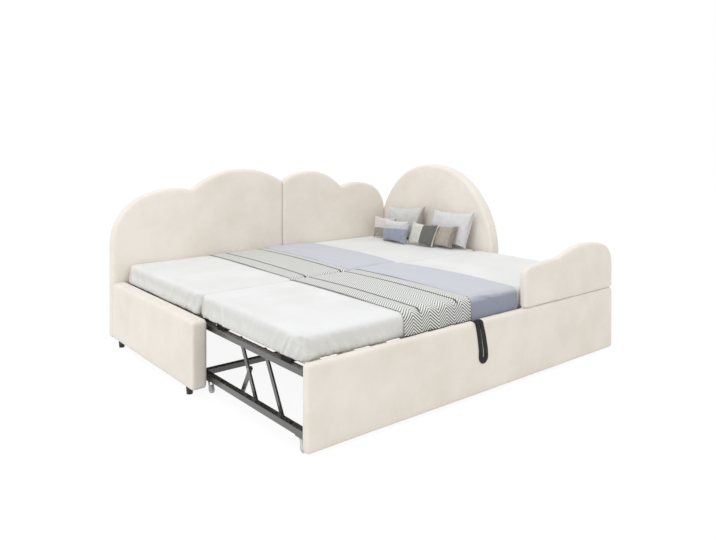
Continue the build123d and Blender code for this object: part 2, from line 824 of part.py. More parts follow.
# Pull strap: webbing held on top of the front panel, with a loop that hangs down in front
strap_full = 2 * strap_width + strap_slot
strap_back = panel_front - strap_stand_off
strap_front = strap_back - strap_thickness
strap_x = left + strap_place
strap_tongue = 26.0
strap_hem = 34.0
strap_turn = 8.0
loop_top = low_panel_top - strap_hem
loop_bottom = low_panel_top - strap_drop + strap_full / 2
loop_length = hypot(strap_lean, loop_top - loop_bottom)
loop_tilt = degrees(atan2(loop_bottom - loop_top, strap_lean))
with BuildPart() as pull_strap:
    with BuildSketch(plane_at_y(strap_back)):
        with Locations((strap_x + strap_lean / 2, middle(loop_top, loop_bottom))):
            SlotCenterToCenter(loop_length, strap_full, rotation=loop_tilt)
            SlotCenterToCenter(loop_length, strap_slot, rotation=loop_tilt, mode=Mode.SUBTRACT)
    extrude(amount=strap_thickness)
    with BuildSketch(plane_at_x(strap_x - strap_full / 2)):
        with BuildLine():
            strap_top = low_panel_top + strap_thickness
            tongue_end = panel_front + strap_tongue
            outer = FilletPolyline(
                (strap_front, loop_top), (strap_front, strap_top), (tongue_end, strap_top),
                radius=strap_turn + strap_thickness,
            )
            inner = FilletPolyline(
                (strap_back, loop_top), (strap_back, low_panel_top), (tongue_end, low_panel_top), radius=strap_turn,
            )
            Line(outer @ 0, inner @ 0)
            Line(outer @ 1, inner @ 1)
        make_face()
    extrude(amount=strap_full)

strap_plate_length = 12.0
strap_plate_height = 2.0
strap_screw_radius = 3.0
with BuildPart() as strap_plate:
    with BuildSketch(plane_at_z(strap_top)):
        with Locations((strap_x, tongue_end - strap_plate_length / 2)):
            RectangleRounded(strap_full, strap_plate_length, tube_round)
    extrude(amount=strap_plate_height)
    with BuildSketch(plane_at_z(strap_top + strap_plate_height)):
        with Locations((strap_x, tongue_end - strap_plate_length / 2)):
            with GridLocations(strap_full - strap_slot, 0, 2, 1):
                Circle(strap_screw_radius)
    extrude(amount=strap_plate_height)


# Pillows. Each is a lens between two pinched outlines, stood on the mattress and leant back.
pillow_step_shares = (-0.94, -0.6, 0.0, 0.6, 0.94)
pillow_draw_share = 0.055
pillow_pinch_share = 0.8
pillow_pinch_power = 1.5

# For each pillow: how far it stands from the headboard and from the bed's front, its width, height
# and thickness, and how far it is turned and leant back
grey_place = (71.0, 735.0)
grey_size = (390.0, 236.0, 92.0)
grey_angles = (0.0, 10.0)
white_place = (71.0, 287.0)
white_size = (390.0, 236.0, 92.0)
white_angles = (0.0, 10.0)
banded_place = (185.0, 700.0)
banded_size = (235.0, 145.0, 46.0)
banded_angles = (0.0, 12.0)
olive_place = (155.0, 850.0)
olive_size = (180.0, 150.0, 42.0)
olive_angles = (14.0, 8.0)
blue_place = (239.0, 626.0)
blue_size = (262.0, 135.0, 54.0)
blue_angles = (-4.0, 14.0)
satin_place = (193.0, 424.0)
satin_size = (244.0, 150.0, 54.0)
satin_angles = (6.0, 12.0)
taupe_place = (147.0, 290.0)
taupe_size = (228.0, 145.0, 44.0)
taupe_angles = (4.0, 12.0)


def crown_height(y, bedding):
    """The height of a mattress top at a place across the bed."""
    front_y, back_y = bedding
    share = (y - middle(front_y, back_y)) / ((back_y - front_y) / 2)
    return mattress_top + mattress_crown * (1 - share**2)


def pillow(place, size, angles):
    """A stuffed pillow that stands on the daybed mattress and faces the low end of the bed."""
    width, height, thickness = size
    turn, lean = (radians(angle) for angle in angles)
    facing = Vector(-cos(turn) * cos(lean), -sin(turn) * cos(lean), sin(lean))
    across = Vector(sin(turn), -cos(turn), 0)
    centre_y = front + place[1]
    spread = width / 2 * cos(turn)
    bed_middle = middle(*daybed_bedding)
    nearest = min(abs(centre_y - bed_middle - spread), abs(centre_y - bed_middle + spread))
    rest_height = crown_height(bed_middle + nearest, daybed_bedding) + side_play
    stand = Plane(
        origin=(inner_right - place[0], centre_y, rest_height + height / 2 * cos(lean)), x_dir=across, z_dir=facing
    )
    with BuildPart() as body:
        for step_share in pillow_step_shares:
            swell_share = sqrt(1 - step_share**2)
            corner_share = 1 - pillow_pinch_share * abs(step_share) ** pillow_pinch_power
            with BuildSketch(stand.offset(step_share * thickness / 2)):
                with BuildLine():
                    corner_x = width / 2 * corner_share
                    corner_y = height / 2 * corner_share
                    side_x = width / 2 * (1 - pillow_draw_share) * swell_share
                    side_y = height / 2 * (1 - 2 * pillow_draw_share) * swell_share
                    ThreePointArc((-corner_x, -corner_y), (0, -side_y), (corner_x, -corner_y))
                    ThreePointArc((corner_x, -corner_y), (side_x, 0), (corner_x, corner_y))
                    ThreePointArc((corner_x, corner_y), (0, side_y), (-corner_x, corner_y))
                    ThreePointArc((-corner_x, corner_y), (-side_x, 0), (-corner_x, -corner_y))
                make_face()
        loft()
    return body.part


pillows = {
    "pillow_large_grey": pillow(grey_place, grey_size, grey_angles),
    "pillow_large_white": pillow(white_place, white_size, white_angles),
    "pillow_banded": pillow(banded_place, banded_size, banded_angles),
    "pillow_olive": pillow(olive_place, olive_size, olive_angles),
    "pillow_blue": pillow(blue_place, blue_size, blue_angles),
    "pillow_satin": pillow(satin_place, satin_size, satin_angles),
    "pillow_taupe": pillow(taupe_place, taupe_size, taupe_angles),
}

pieces = {
    "end_panel": end_panel.part,
    "back_panel_left": back_panel_left.part,
    "back_panel_right": back_panel_right.part,
    "headboard": headboard.part,
    "panel_feet": panel_feet.part,
    "daybed_front_rail": daybed_front_rail,
    "daybed_rear_rail": daybed_rear_rail,
    "frame_brackets": frame_brackets.part,
    "frame_bolts": frame_bolts.part,
    "daybed_slats": daybed_slats.part,
    "daybed_mattress": daybed_mattress,
    "daybed_throw": daybed_throw,
    "daybed_blanket": daybed_blanket,
    "trundle_front_panel": trundle_front_panel.part,
    "guard_rail": guard_rail.part,
    "guard_plates": guard_plates.part,
    "base_rail_left": base_rail_left,
    "base_rail_right": base_rail_right,
    "base_rail_front": base_rail_front,
    "base_rail_rear": base_rail_rear,
    "base_brackets": base_brackets.part,
    "base_pivot_pins": base_pivot_pins,
    "deck_bumpers": deck_bumpers.part,
    "pull_strap": pull_strap.part,
    "strap_plate": strap_plate.part,
    "long_arm_left": long_arm_left,
    "long_arm_right": mirror(long_arm_left, about=Plane.YZ),
    "short_arm_left": short_arm_left,
    "short_arm_right": mirror(short_arm_left, about=Plane.YZ),
    "guide_arm_left": guide_arm_left,
    "guide_arm_right": mirror(guide_arm_left, about=Plane.YZ),
    "knee_pins": knee_pins,
    "lift_rollers": lift_rollers,
    "guide_rollers": guide_rollers,
    "deck_rail_left": deck_rail_left,
    "deck_rail_right": deck_rail_right,
    "deck_end_rails": deck_end_rails.part,
    "deck_bearers": deck_bearers.part,
    "slat_blocks": slat_blocks.part,
    "deck_slats": deck_slats.part,
    "deck_pivot_pins": deck_pivot_pins,
    "deck_mattress": deck_mattress,
    "deck_throw": deck_throw,
    "deck_blanket": deck_blanket,
    **pillows,
}
for place_name, (fork_piece, wheel_piece) in casters.items():
    pieces[f"caster_fork_{place_name}"] = fork_piece
    pieces[f"caster_wheel_{place_name}"] = wheel_piece

for piece_name, piece in pieces.items():
    save(piece, piece_name)
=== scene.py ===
import math

import bpy
from mathutils import Matrix, Vector, noise


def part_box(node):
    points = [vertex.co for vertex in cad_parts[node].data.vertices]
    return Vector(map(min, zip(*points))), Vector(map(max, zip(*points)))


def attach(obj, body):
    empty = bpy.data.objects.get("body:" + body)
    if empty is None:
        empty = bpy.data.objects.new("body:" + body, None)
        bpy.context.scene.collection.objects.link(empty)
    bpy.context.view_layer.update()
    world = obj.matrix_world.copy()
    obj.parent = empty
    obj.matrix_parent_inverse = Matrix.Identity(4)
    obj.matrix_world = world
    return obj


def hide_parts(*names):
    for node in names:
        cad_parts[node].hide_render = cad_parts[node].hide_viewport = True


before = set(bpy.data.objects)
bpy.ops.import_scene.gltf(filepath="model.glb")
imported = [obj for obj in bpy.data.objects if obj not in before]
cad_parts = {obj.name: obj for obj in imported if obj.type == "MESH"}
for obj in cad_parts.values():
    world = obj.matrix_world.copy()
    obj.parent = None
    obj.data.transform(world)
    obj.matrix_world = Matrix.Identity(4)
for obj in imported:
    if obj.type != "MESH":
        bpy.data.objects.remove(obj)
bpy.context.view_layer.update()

# Studio. The camera stands left of the bed's foot, level and 1.18 m up, and looks along the bed
# towards the headboard. A white paper floor and a white surround give soft light from all round. A
# large soft box high on the left makes the low end the brightest side, and a smaller one is overhead.
camera_place = (-2.3603, -2.9456, 1.1763)
camera_turn = math.radians(38.85)
camera_lens = 34.15
camera_sensor = 36.0
horizon_shift = -0.1899
camera_far = 60.0
scene = bpy.context.scene
camera_data = bpy.data.cameras.new("camera")
camera_data.lens = camera_lens
camera_data.sensor_width = camera_sensor
camera_data.shift_y = horizon_shift
camera_data.clip_end = camera_far
camera = bpy.data.objects.new("camera", camera_data)
scene.collection.objects.link(camera)
camera.location = camera_place
camera.rotation_euler = (math.pi / 2, 0, -camera_turn)
scene.camera = camera
scene.view_settings.view_transform = "Standard"


def linear(code):
    """A colour written as an sRGB hex value, in linear light with full cover."""
    parts = [int(code[at:at + 2], 16) / 255 for at in (1, 3, 5)]
    return (*[c / 12.92 if c <= 0.04045 else ((c + 0.055) / 1.055) ** 2.4 for c in parts], 1.0)


def feed(tree, node, inputs):
    """Set or link the inputs of a shader node."""
    for socket, value in inputs.items():
        if isinstance(value, bpy.types.NodeSocket):
            tree.links.new(value, node.inputs[socket])
        else:
            node.inputs[socket].default_value = value


def add_node(tree, kind, inputs=None, **settings):
    """Add one shader node with its settings, and set or link its inputs."""
    made = tree.nodes.new("ShaderNode" + kind)
    for name, value in settings.items():
        setattr(made, name, value)
    feed(tree, made, inputs or {})
    return made


def seen_directly(tree):
    """One for what the camera sees, or sees in a reflection or through something, and else nought."""
    path = add_node(tree, "LightPath")
    either = add_node(
        tree, "Math", {0: path.outputs["Is Camera Ray"], 1: path.outputs["Is Glossy Ray"]},
        operation="MAXIMUM",
    )
    return add_node(
        tree, "Math", {0: either.outputs[0], 1: path.outputs["Is Transmission Ray"]}, operation="MAXIMUM"
    ).outputs[0]


surround_light = 0.89
world = bpy.data.worlds.new("white_surround")
world.use_nodes = True
scene.world = world
surround = world.node_tree.nodes["Background"]
surround_strength = add_node(
    world.node_tree, "MapRange",
    {"Value": seen_directly(world.node_tree), "To Min": surround_light, "To Max": 1.0},
)
feed(world.node_tree, surround, {
    "Color": linear("#FFFFFF"), "Strength": surround_strength.outputs["Result"],
})

paper_white = "#ECECEB"
paper_whiteness_seen = 0.86
paper_glow_strength = 1.07
floor_width = 24.0
bpy.ops.object.select_all(action="DESELECT")
bpy.ops.mesh.primitive_plane_add(size=floor_width, location=(0, 0, 0))
floor = bpy.context.object
floor.name = "floor"
paper = bpy.data.materials.new("white_paper")
paper.use_nodes = True
paper_tree = paper.node_tree
paper_surface = paper_tree.nodes["Principled BSDF"]
feed(paper_tree, paper_surface, {
    "Base Color": linear(paper_white), "Roughness": 0.9, "Specular IOR Level": 0.0,
})
paper_glow = add_node(
    paper_tree, "Emission", {"Color": linear("#FFFFFF"), "Strength": paper_glow_strength}
)
paper_share = add_node(
    paper_tree, "Math", {0: seen_directly(paper_tree), 1: paper_whiteness_seen}, operation="MULTIPLY"
)
paper_mix = add_node(
    paper_tree, "MixShader",
    {0: paper_share.outputs[0], 1: paper_surface.outputs["BSDF"], 2: paper_glow.outputs["Emission"]},
)
feed(paper_tree, paper_tree.nodes["Material Output"], {"Surface": paper_mix.outputs[0]})
floor.data.materials.append(paper)


def soft_box(name, place, aim, width, power, colour):
    """A square studio light that points at a place."""
    data = bpy.data.lights.new(name, "AREA")
    data.color = linear(colour)[:3]
    data.size = width
    data.energy = power
    light = bpy.data.objects.new(name, data)
    scene.collection.objects.link(light)
    light.location = place
    light.rotation_euler = (Vector(aim) - Vector(place)).to_track_quat("-Z", "Y").to_euler()


soft_box(
    "key_soft_box", place=(-8.3, -2.0, 5.4), aim=(0.0, 0.0, 0.4),
    width=5.4, power=156.0, colour="#EFF5FF",
)
soft_box(
    "top_soft_box", place=(-0.6, -0.6, 4.2), aim=(0.0, 0.0, 0.3),
    width=3.4, power=35.0, colour="#F6F9FF",
)


# Upholstered panels: the low end, the two cloud-shaped back boards, the arched headboard, the
# trundle's front and its cloud guard rail. Each is a board with foam glued round it and a cover of
# cream velvet pulled tight and stapled underneath, so every edge is soft and the faces swell a little.
velvet_cream = "#EEE7DD"
velvet_shade = "#E6DDD1"
nap_patch = 0.24
nap_grain = 0.0016
weld_gap = 0.00005
panel_voxel = 0.009
panel_ease = 4
foam_swell = 0.0012
swell_patch = 0.22
panel_body = {
    "end_panel": "daybed", "back_panel_left": "daybed", "back_panel_right": "daybed",
    "headboard": "daybed", "trundle_front_panel": "trundle_base", "guard_rail": "trundle_base",
}


def new_material(name):
    """A material with its node tree, its shader and the piece's own coordinates."""
    material = bpy.data.materials.new(name)
    material.use_nodes = True
    tree = material.node_tree
    return material, tree, tree.nodes["Principled BSDF"], add_node(tree, "TexCoord").outputs["Object"]


def drift_tone(tree, value, low, high, shade, colour):
    """A tone that goes from a shade to a colour as a value goes from low to high."""
    share = add_node(tree, "MapRange", {"Value": value, "From Min": low, "From Max": high})
    return add_node(
        tree, "Mix", {"Factor": share.outputs["Result"], "A": shade, "B": colour}, data_type="RGBA"
    ).outputs["Result"]


def velvet_cloth():
    """Short-pile velvet. The pile lies in patches, so the tone drifts, and it glows at the rims.

    Its tufts are drawn about four times too coarse, so that they show."""
    material, tree, surface, place = new_material("cream_velvet")
    patches = add_node(
        tree, "TexNoise", {"Vector": place, "Scale": 1 / nap_patch, "Detail": 5.0, "Roughness": 0.65}
    )
    tone = drift_tone(
        tree, patches.outputs["Fac"], 0.3, 0.62, linear(velvet_shade), linear(velvet_cream)
    )
    pile = add_node(tree, "TexNoise", {"Vector": place, "Scale": 1 / nap_grain})
    bump = add_node(tree, "Bump", {"Height": pile.outputs["Fac"], "Distance": 0.0003, "Strength": 0.6})
    feed(tree, surface, {
        "Base Color": tone, "Roughness": 0.92, "Specular IOR Level": 0.15,
        "Sheen Weight": 0.9, "Sheen Roughness": 0.32, "Sheen Tint": linear("#FFFFFF"),
        "Normal": bump.outputs["Normal"],
    })
    return material


def select_only(piece):
    """Make one piece the only one that an operator acts on."""
    bpy.ops.object.select_all(action="DESELECT")
    piece.select_set(True)
    bpy.context.view_layer.objects.active = piece


def copy_of(node, name):
    """A new piece with a merged copy of a solid's mesh."""
    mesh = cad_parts[node].data.copy()
    mesh.materials.clear()
    piece = bpy.data.objects.new(name, mesh)
    scene.collection.objects.link(piece)
    select_only(piece)
    bpy.ops.object.mode_set(mode="EDIT")
    bpy.ops.mesh.select_all(action="SELECT")
    bpy.ops.mesh.remove_doubles(threshold=weld_gap)
    bpy.ops.mesh.normals_make_consistent(inside=False)
    bpy.ops.object.mode_set(mode="OBJECT")
    return piece


def apply_modifier(piece, kind, **settings):
    """Add a modifier with its settings and apply it."""
    select_only(piece)
    made = piece.modifiers.new(kind.lower(), kind)
    for name, value in settings.items():
        setattr(made, name, value)
    bpy.ops.object.modifier_apply(modifier=made.name)


def move_points(piece, moves):
    """Move each point of a piece by its own step."""
    for point, move in zip(piece.data.vertices, moves):
        point.co += move
    piece.data.update()


def dress(piece, body, material, node):
    """Give a finished piece its material and its body, and hide the solid it stands for."""
    piece.data.materials.append(material)
    select_only(piece)
    bpy.ops.object.shade_smooth()
    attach(piece, body)
    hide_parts(node)


def swell_foam(panel):
    """Let a panel's faces rise and sink slowly, as foam does under velvet."""
    points = panel.data.vertices
    move_points(panel, [
        point.normal * (foam_swell * noise.noise(point.co / swell_patch)) for point in points
    ])


velvet = velvet_cloth()
for node, body in panel_body.items():
    panel = copy_of(node, "velvet_" + node)
    apply_modifier(panel, "REMESH", mode="VOXEL", voxel_size=panel_voxel)
    apply_modifier(panel, "SMOOTH", factor=0.5, iterations=panel_ease)
    swell_foam(panel)
    dress(panel, body, velvet, node)


# Mattresses, one on the daybed and one on the trundle. Each is a foam and spring block in a white
# fitted sheet, whose elastic pulls it into upright folds near the corners and a few along the sides,
# and leaves it full where it turns under at the foot.
sheet_white = "#E6E6E4"
sheet_shade = "#E0E0DD"
# Painted shade: the sheet's upright sides take this darker tone, and its top the lighter ones.
sheet_side_painted_shade = "#DAD9D4"
sheet_patch = 0.25
sheet_thread = 0.0011

# The wave texture draws bands about as wide as a thread at a scale of one over its width and this.
bands_per_width = 6.28
mattress_voxel = 0.0075
mattress_ease = 2
quilt_swell = 0.0016
quilt_patch = 0.36

# A point whose normal leans less than this counts as the top, and one that leans more moves outwards.
top_slope = 0.15
upright_gain = 1.2

# A sheet's folds: how deep and wide they are, how far from a corner they stay deep, how they slant
# outwards and change on their way down, the broad waves that they stand on, and what makes each side
# fold in its own way.
side_fold = 0.0115
side_fold_width = 0.021
fold_least = 0.35
fold_start = 0.2
corner_reach = 0.34
fold_slant = 0.45
fold_change = 0.8
broad_width = 0.11
broad_change = 0.5
broad_share = 0.6
broad_seed = 7.7
ridge_from, ridge_gain = 0.25, 2.0
turn_seeds = (3, 5)

# Its foot: where it starts to stand out and is full, as shares of the way down, and by how much, and
# the most that folds and foot may stand out together, each at the ends, the front and the back.
foot_start = 0.50
foot_full = 0.80
foot_curve = 1.3
foot_fullness = {"daybed_mattress": (0.0105, 0.0, 0.0015), "deck_mattress": (0.006, 0.006, 0.0)}
side_room = {"daybed_mattress": (0.0105, 0.0, 0.0014), "deck_mattress": (0.0105, 0.0066, 0.0)}
bedding_reach = (-0.475, 0.300)
bedding_fade = 0.05
fold_under_bedding = 0.3


def percale():
    """Cotton percale, plain-woven. The threads are drawn four times too coarse, so that they show. Its
    sides are painted darker than its top, as painted shade.
    """
    material, tree, surface, place = new_material("white_percale")
    cloud = add_node(tree, "TexNoise", {"Vector": place, "Scale": 1 / sheet_patch})
    top_tone = drift_tone(
        tree, cloud.outputs["Fac"], 0.35, 0.65, linear(sheet_shade), linear(sheet_white)
    )
    normal = add_node(tree, "SeparateXYZ", {0: add_node(tree, "NewGeometry").outputs["Normal"]})
    # Painted shade: the tone goes from the top's to the darker side tone as the surface turns upright.
    tone = drift_tone(tree, normal.outputs["Z"], 0.15, 0.7, linear(sheet_side_painted_shade), top_tone)
    warp, weft = [
        add_node(
            tree, "TexWave",
            {"Vector": place, "Scale": 1 / sheet_thread / bands_per_width, "Distortion": 0.6},
            bands_direction=way,
        ).outputs["Fac"]
        for way in "XY"
    ]
    weave = add_node(tree, "Math", {0: warp, 1: weft}, operation="ADD")
    bump = add_node(tree, "Bump", {"Height": weave.outputs[0], "Distance": 0.00015, "Strength": 0.5})
    feed(tree, surface, {
        "Base Color": tone, "Roughness": 0.85, "Specular IOR Level": 0.2, "Sheen Weight": 0.15,
        "Sheen Roughness": 0.6, "Normal": bump.outputs["Normal"],
    })
    return material


def clip(value):
    """A value, held between nought and one."""
    return min(1.0, max(0.0, value))


def pull_sheet(mattress, node):
    """Shape a fitted sheet's folds and its full foot over a mattress."""
    low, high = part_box(node)
    height = high.z - low.z
    end_push, front_push, back_push = foot_fullness[node]
    end_room, front_room, back_room = side_room[node]
    moves = []
    for point in mattress.data.vertices:
        place, normal = point.co, point.normal
        sideways = Vector((normal.x, normal.y, 0.0))
        upright = min(1.0, sideways.length * upright_gain)
        if sideways.length < top_slope:
            swell = quilt_swell * noise.noise(place / quilt_patch)
            moves.append(Vector((0, 0, swell)) if normal.z > 0 else Vector())
            continue
        sideways.normalize()
        facing_end = abs(sideways.x) > abs(sideways.y)
        along = place.y if facing_end else place.x
        ends = (low.y, high.y) if facing_end else (low.x, high.x)
        from_corner = min(along - ends[0], ends[1] - along)
        near = math.exp(-(from_corner / corner_reach) ** 2)
        down = (high.z - place.z) / height
        slant = along + fold_slant * down * height * (1 if along > sum(ends) / 2 else -1)
        side_seed = sideways.x * turn_seeds[0] + sideways.y * turn_seeds[1]
        sharp = noise.noise(Vector((slant / side_fold_width, down * fold_change, side_seed)))
        broad = noise.noise(Vector((slant / broad_width, down * broad_change, broad_seed)))
        ridge = (abs(sharp) - ridge_from) * ridge_gain + broad * broad_share
        fold = side_fold * (fold_least + near) * ridge * (fold_start + (1 - fold_start) * down)
        foot = clip((down - foot_start) / (foot_full - foot_start)) ** foot_curve
        if facing_end:
            push, room = end_push * foot, end_room
        elif sideways.y < 0:
            outside = max(bedding_reach[0] - place.x, place.x - bedding_reach[1])
            bare = clip(outside / bedding_fade)
            push, room = front_push * foot * bare, front_room
            fold *= fold_under_bedding + (1 - fold_under_bedding) * bare
        else:
            push, room = back_push * foot, back_room
        moves.append(sideways * upright * min(fold + push, room))
    move_points(mattress, moves)


percale_white = percale()
for node, body in {"daybed_mattress": "daybed", "deck_mattress": "deck"}.items():
    mattress = copy_of(node, "sheeted_" + node)
    apply_modifier(mattress, "REMESH", mode="VOXEL", voxel_size=mattress_voxel)
    apply_modifier(mattress, "SMOOTH", factor=0.5, iterations=mattress_ease)
    pull_sheet(mattress, node)
    dress(mattress, body, percale_white, node)


# Throws. A soft cotton throw lies across each mattress, woven in black and white chevrons. Three dark
# lines along its length are painted shadows of folds, and show only where it lies level. The
# daybed's ends over the front rim of its mattress, and the trundle's hangs down the front as far as
# the front panel, where it is whipped along its hem. Its dark hem band is partly painted shadow,
# where the throw meets the panel.
throw_white = "#E4E4DF"
throw_dark = "#4B4D4B"
# Painted sheen: the dark yarn's paler tone where the throw lies level.
throw_dark_sheen = "#8A8C88"
# Painted shadow: the dark lines along the throw stand for the shadows of lengthwise folds.
painted_fold_shadow = "#3F3D39"
# The dark band along the front end: a whipped hem, and partly painted shadow where it meets the panel.
throw_hem_and_shadow = "#3C3A38"
chevron_width = 0.1005
chevron_rise = 0.043
chevron_pitch = 0.0136
chevron_peak = -0.402
fold_shadow_places = (-0.4655, -0.361, -0.129)
fold_shadow_width, shadow_core, shadow_edge = 0.0098, 0.4, 0.7
shadow_wander = 0.010
wanders_per_metre = 2.2
hem_and_shadow_width = 0.0045
throw_lift = 0.0022
throw_thick = 0.0022
throw_rows, throw_columns = 190, 64

# Its left edge, and its right edge where it hangs over the front and where it doesn't.
throw_left = -0.470
throw_rights = {True: -0.0445, False: -0.0775}
throw_narrows = 0.018

# The line that a cloth follows across a mattress: the mattress's height at its rim, the radius of the
# rim, how far its sides bulge, where a laid cloth ends on the rim and how low a hanging one ends.
mattress_side = 0.100
mattress_rim = 0.030
mattress_bulge = 0.002
rim_end_drop = 0.0125
front_end = 0.3365
hang_out = 0.001
rim_steps = 8
top_steps = 40

# The waver of a throw's left edge, its rucks, and the folds of the part that hangs, which deepen on
# their way down.
edge_wave, edge_turns = 0.002, 9.0
ruck_height, ruck_width, ruck_length, ruck_seed = 0.0018, 0.05, 0.6, 1.3
throw_rest = 0.0010
throw_hang = 0.085
drape_depth, drape_turns, drape_most = 0.030, 44.0, 0.005
drape_wander, wander_across, wander_down, wander_seed = 2.0, 6, 9, 4


def across_mattress(node, lift, hangs):
    """Places (y, z) from a mattress's back rim over its top and, if the cloth hangs, down its front."""
    low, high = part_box(node)
    edge = low.z + mattress_side
    crown = high.z - edge
    turn = mattress_rim + lift
    centre_z = edge - mattress_rim
    back_y = high.y - mattress_bulge - mattress_rim
    front_y = low.y + mattress_bulge + mattress_rim
    start = math.asin((edge - rim_end_drop - centre_z) / turn)
    places = []
    for step in range(rim_steps):
        angle = start + (math.pi / 2 - start) * step / rim_steps
        places.append((back_y + turn * math.cos(angle), centre_z + turn * math.sin(angle)))
    for step in range(top_steps + 1):
        share = step / top_steps
        rise = crown * (1 - (2 * share - 1) ** 2)
        places.append((back_y + (front_y - back_y) * share, edge + lift + rise))
    last = math.pi if hangs else math.pi - start
    for step in range(1, rim_steps + 1):
        angle = math.pi / 2 + (last - math.pi / 2) * step / rim_steps
        places.append((front_y + turn * math.cos(angle), centre_z + turn * math.sin(angle)))
    if hangs:
        places.append((front_y - turn - hang_out, front_end))
    return [Vector(place) for place in places]


def evenly(places, count):
    """Evenly spaced places along a line, with their normals and distances, and the line's length."""
    lengths = [0.0]
    for a, b in zip(places, places[1:]):
        lengths.append(lengths[-1] + (b - a).length)
    found = []
    at = 0
    for number in range(count):
        wanted = lengths[-1] * number / (count - 1)
        while at < len(lengths) - 2 and lengths[at + 1] < wanted:
            at += 1
        step = places[at + 1] - places[at]
        share = (wanted - lengths[at]) / step.length
        normal = Vector((step.y, -step.x)).normalized()
        found.append((places[at] + step * share, normal, wanted))
    return found, lengths[-1]


def laid_cloth(name, line, length, edges, rise, columns):
    """A sheet on a line across the bed, between two edges and raised by a rule.

    Its UVs are the flat places: x on the bed, and how far it is from the front end."""
    rows = len(line)
    points, flats = [], []
    for place, normal, down in line:
        left_x, right_x = edges(down / length)
        for column in range(columns):
            x = left_x + (right_x - left_x) * (column / (columns - 1))
            lift = rise(x, down)
            points.append((x, place.x + normal.x * lift, place.y + normal.y * lift))
            flats.append((x, length - down))
    faces = []
    for row in range(rows - 1):
        for column in range(columns - 1):
            a = row * columns + column
            faces.append((a, a + columns, a + columns + 1, a + 1))
    mesh = bpy.data.meshes.new(name)
    mesh.from_pydata(points, [], faces)
    layer = mesh.uv_layers.new(name="flat")
    for loop in mesh.loops:
        layer.data[loop.index].uv = flats[loop.vertex_index]
    piece = bpy.data.objects.new(name, mesh)
    scene.collection.objects.link(piece)
    return piece


def chevron_cloth():
    """Cotton yarn in two colours, woven in chevrons, with three dark lines that wander a little, painted
    as the shadows of folds, and a dark hem band that is partly painted shadow.

    The dark yarn is painted paler where the cloth lies level, as painted sheen, and the painted fold
    shadows show only there."""
    material, tree, surface, _ = new_material("chevron_cotton")
    flat = add_node(tree, "UVMap", uv_map="flat").outputs["UV"]
    axes = add_node(tree, "SeparateXYZ", {0: flat})
    from_peak = add_node(
        tree, "Math", {0: axes.outputs["X"], 1: chevron_peak}, operation="SUBTRACT"
    ).outputs[0]
    fold = add_node(tree, "Math", {0: from_peak, 1: chevron_width / 2}, operation="PINGPONG").outputs[0]
    climb = add_node(
        tree, "Math", {0: fold, 1: chevron_rise / (chevron_width / 2)}, operation="MULTIPLY"
    ).outputs[0]
    level = add_node(tree, "Math", {0: axes.outputs["Y"], 1: climb}, operation="ADD").outputs[0]
    step = add_node(tree, "Math", {0: level, 1: chevron_pitch / 2}, operation="PINGPONG").outputs[0]
    row = add_node(tree, "Math", {0: step, 1: chevron_pitch / 2}, operation="DIVIDE").outputs[0]
    normal = add_node(tree, "SeparateXYZ", {0: add_node(tree, "NewGeometry").outputs["Normal"]})
    # Painted sheen: the dark yarn turns paler where the cloth lies level.
    lying = add_node(tree, "MapRange", {"Value": normal.outputs["Z"], "From Min": 0.3, "From Max": 0.8})
    dark = add_node(
        tree, "Mix",
        {"Factor": lying.outputs["Result"], "A": linear(throw_dark), "B": linear(throw_dark_sheen)},
        data_type="RGBA",
    ).outputs["Result"]
    tone = drift_tone(tree, row, 0.34, 0.48, dark, linear(throw_white))
    lengthways = add_node(tree, "Mapping", {"Vector": flat, "Scale": (0.0, wanders_per_metre, 0.0)})
    drift = add_node(tree, "TexNoise", {"Vector": lengthways.outputs["Vector"], "Scale": 1.0})
    wander = add_node(
        tree, "MapRange", {"Value": drift.outputs["Fac"], "To Min": -shadow_wander, "To Max": shadow_wander}
    ).outputs["Result"]
    across = add_node(tree, "Math", {0: axes.outputs["X"], 1: wander}, operation="ADD").outputs[0]
    # Painted fold shadows: three dark lines along the throw, shown only where it lies level.
    for place, straight in zip(fold_shadow_places, (True, False, False)):
        away = add_node(
            tree, "Math", {0: axes.outputs["X"] if straight else across, 1: place}, operation="SUBTRACT"
        ).outputs[0]
        size = add_node(tree, "Math", {0: away}, operation="ABSOLUTE").outputs[0]
        line = add_node(
            tree, "MapRange", {
                "Value": size, "From Min": fold_shadow_width * shadow_core, "From Max": fold_shadow_width * shadow_edge,
                "To Min": 1.0, "To Max": 0.0,
            },
        ).outputs["Result"]
        cover = add_node(
            tree, "Math", {0: line, 1: lying.outputs["Result"]}, operation="MULTIPLY"
        ).outputs[0]
        tone = add_node(
            tree, "Mix", {"Factor": cover, "A": tone, "B": linear(painted_fold_shadow)}, data_type="RGBA"
        ).outputs["Result"]
    # A dark band along the front end, partly hem and partly painted shadow.
    hem = add_node(tree, "Math", {0: axes.outputs["Y"], 1: hem_and_shadow_width}, operation="LESS_THAN").outputs[0]
    tone = add_node(tree, "Mix", {"Factor": hem, "A": tone, "B": linear(throw_hem_and_shadow)}, data_type="RGBA")
    bump = add_node(tree, "Bump", {"Height": row, "Distance": 0.0006, "Strength": 0.6})
    feed(tree, surface, {
        "Base Color": tone.outputs["Result"], "Roughness": 0.95, "Specular IOR Level": 0.1,
        "Sheen Weight": 0.3, "Normal": bump.outputs["Normal"],
    })
    return material


def throw_edges(hangs):
    """A throw's left and right edges. The left one wavers and eases in towards the front."""
    def edges(share):
        wave = edge_wave * math.sin(share * edge_turns)
        return throw_left + wave + throw_narrows * share**2, throw_rights[hangs]
    return edges


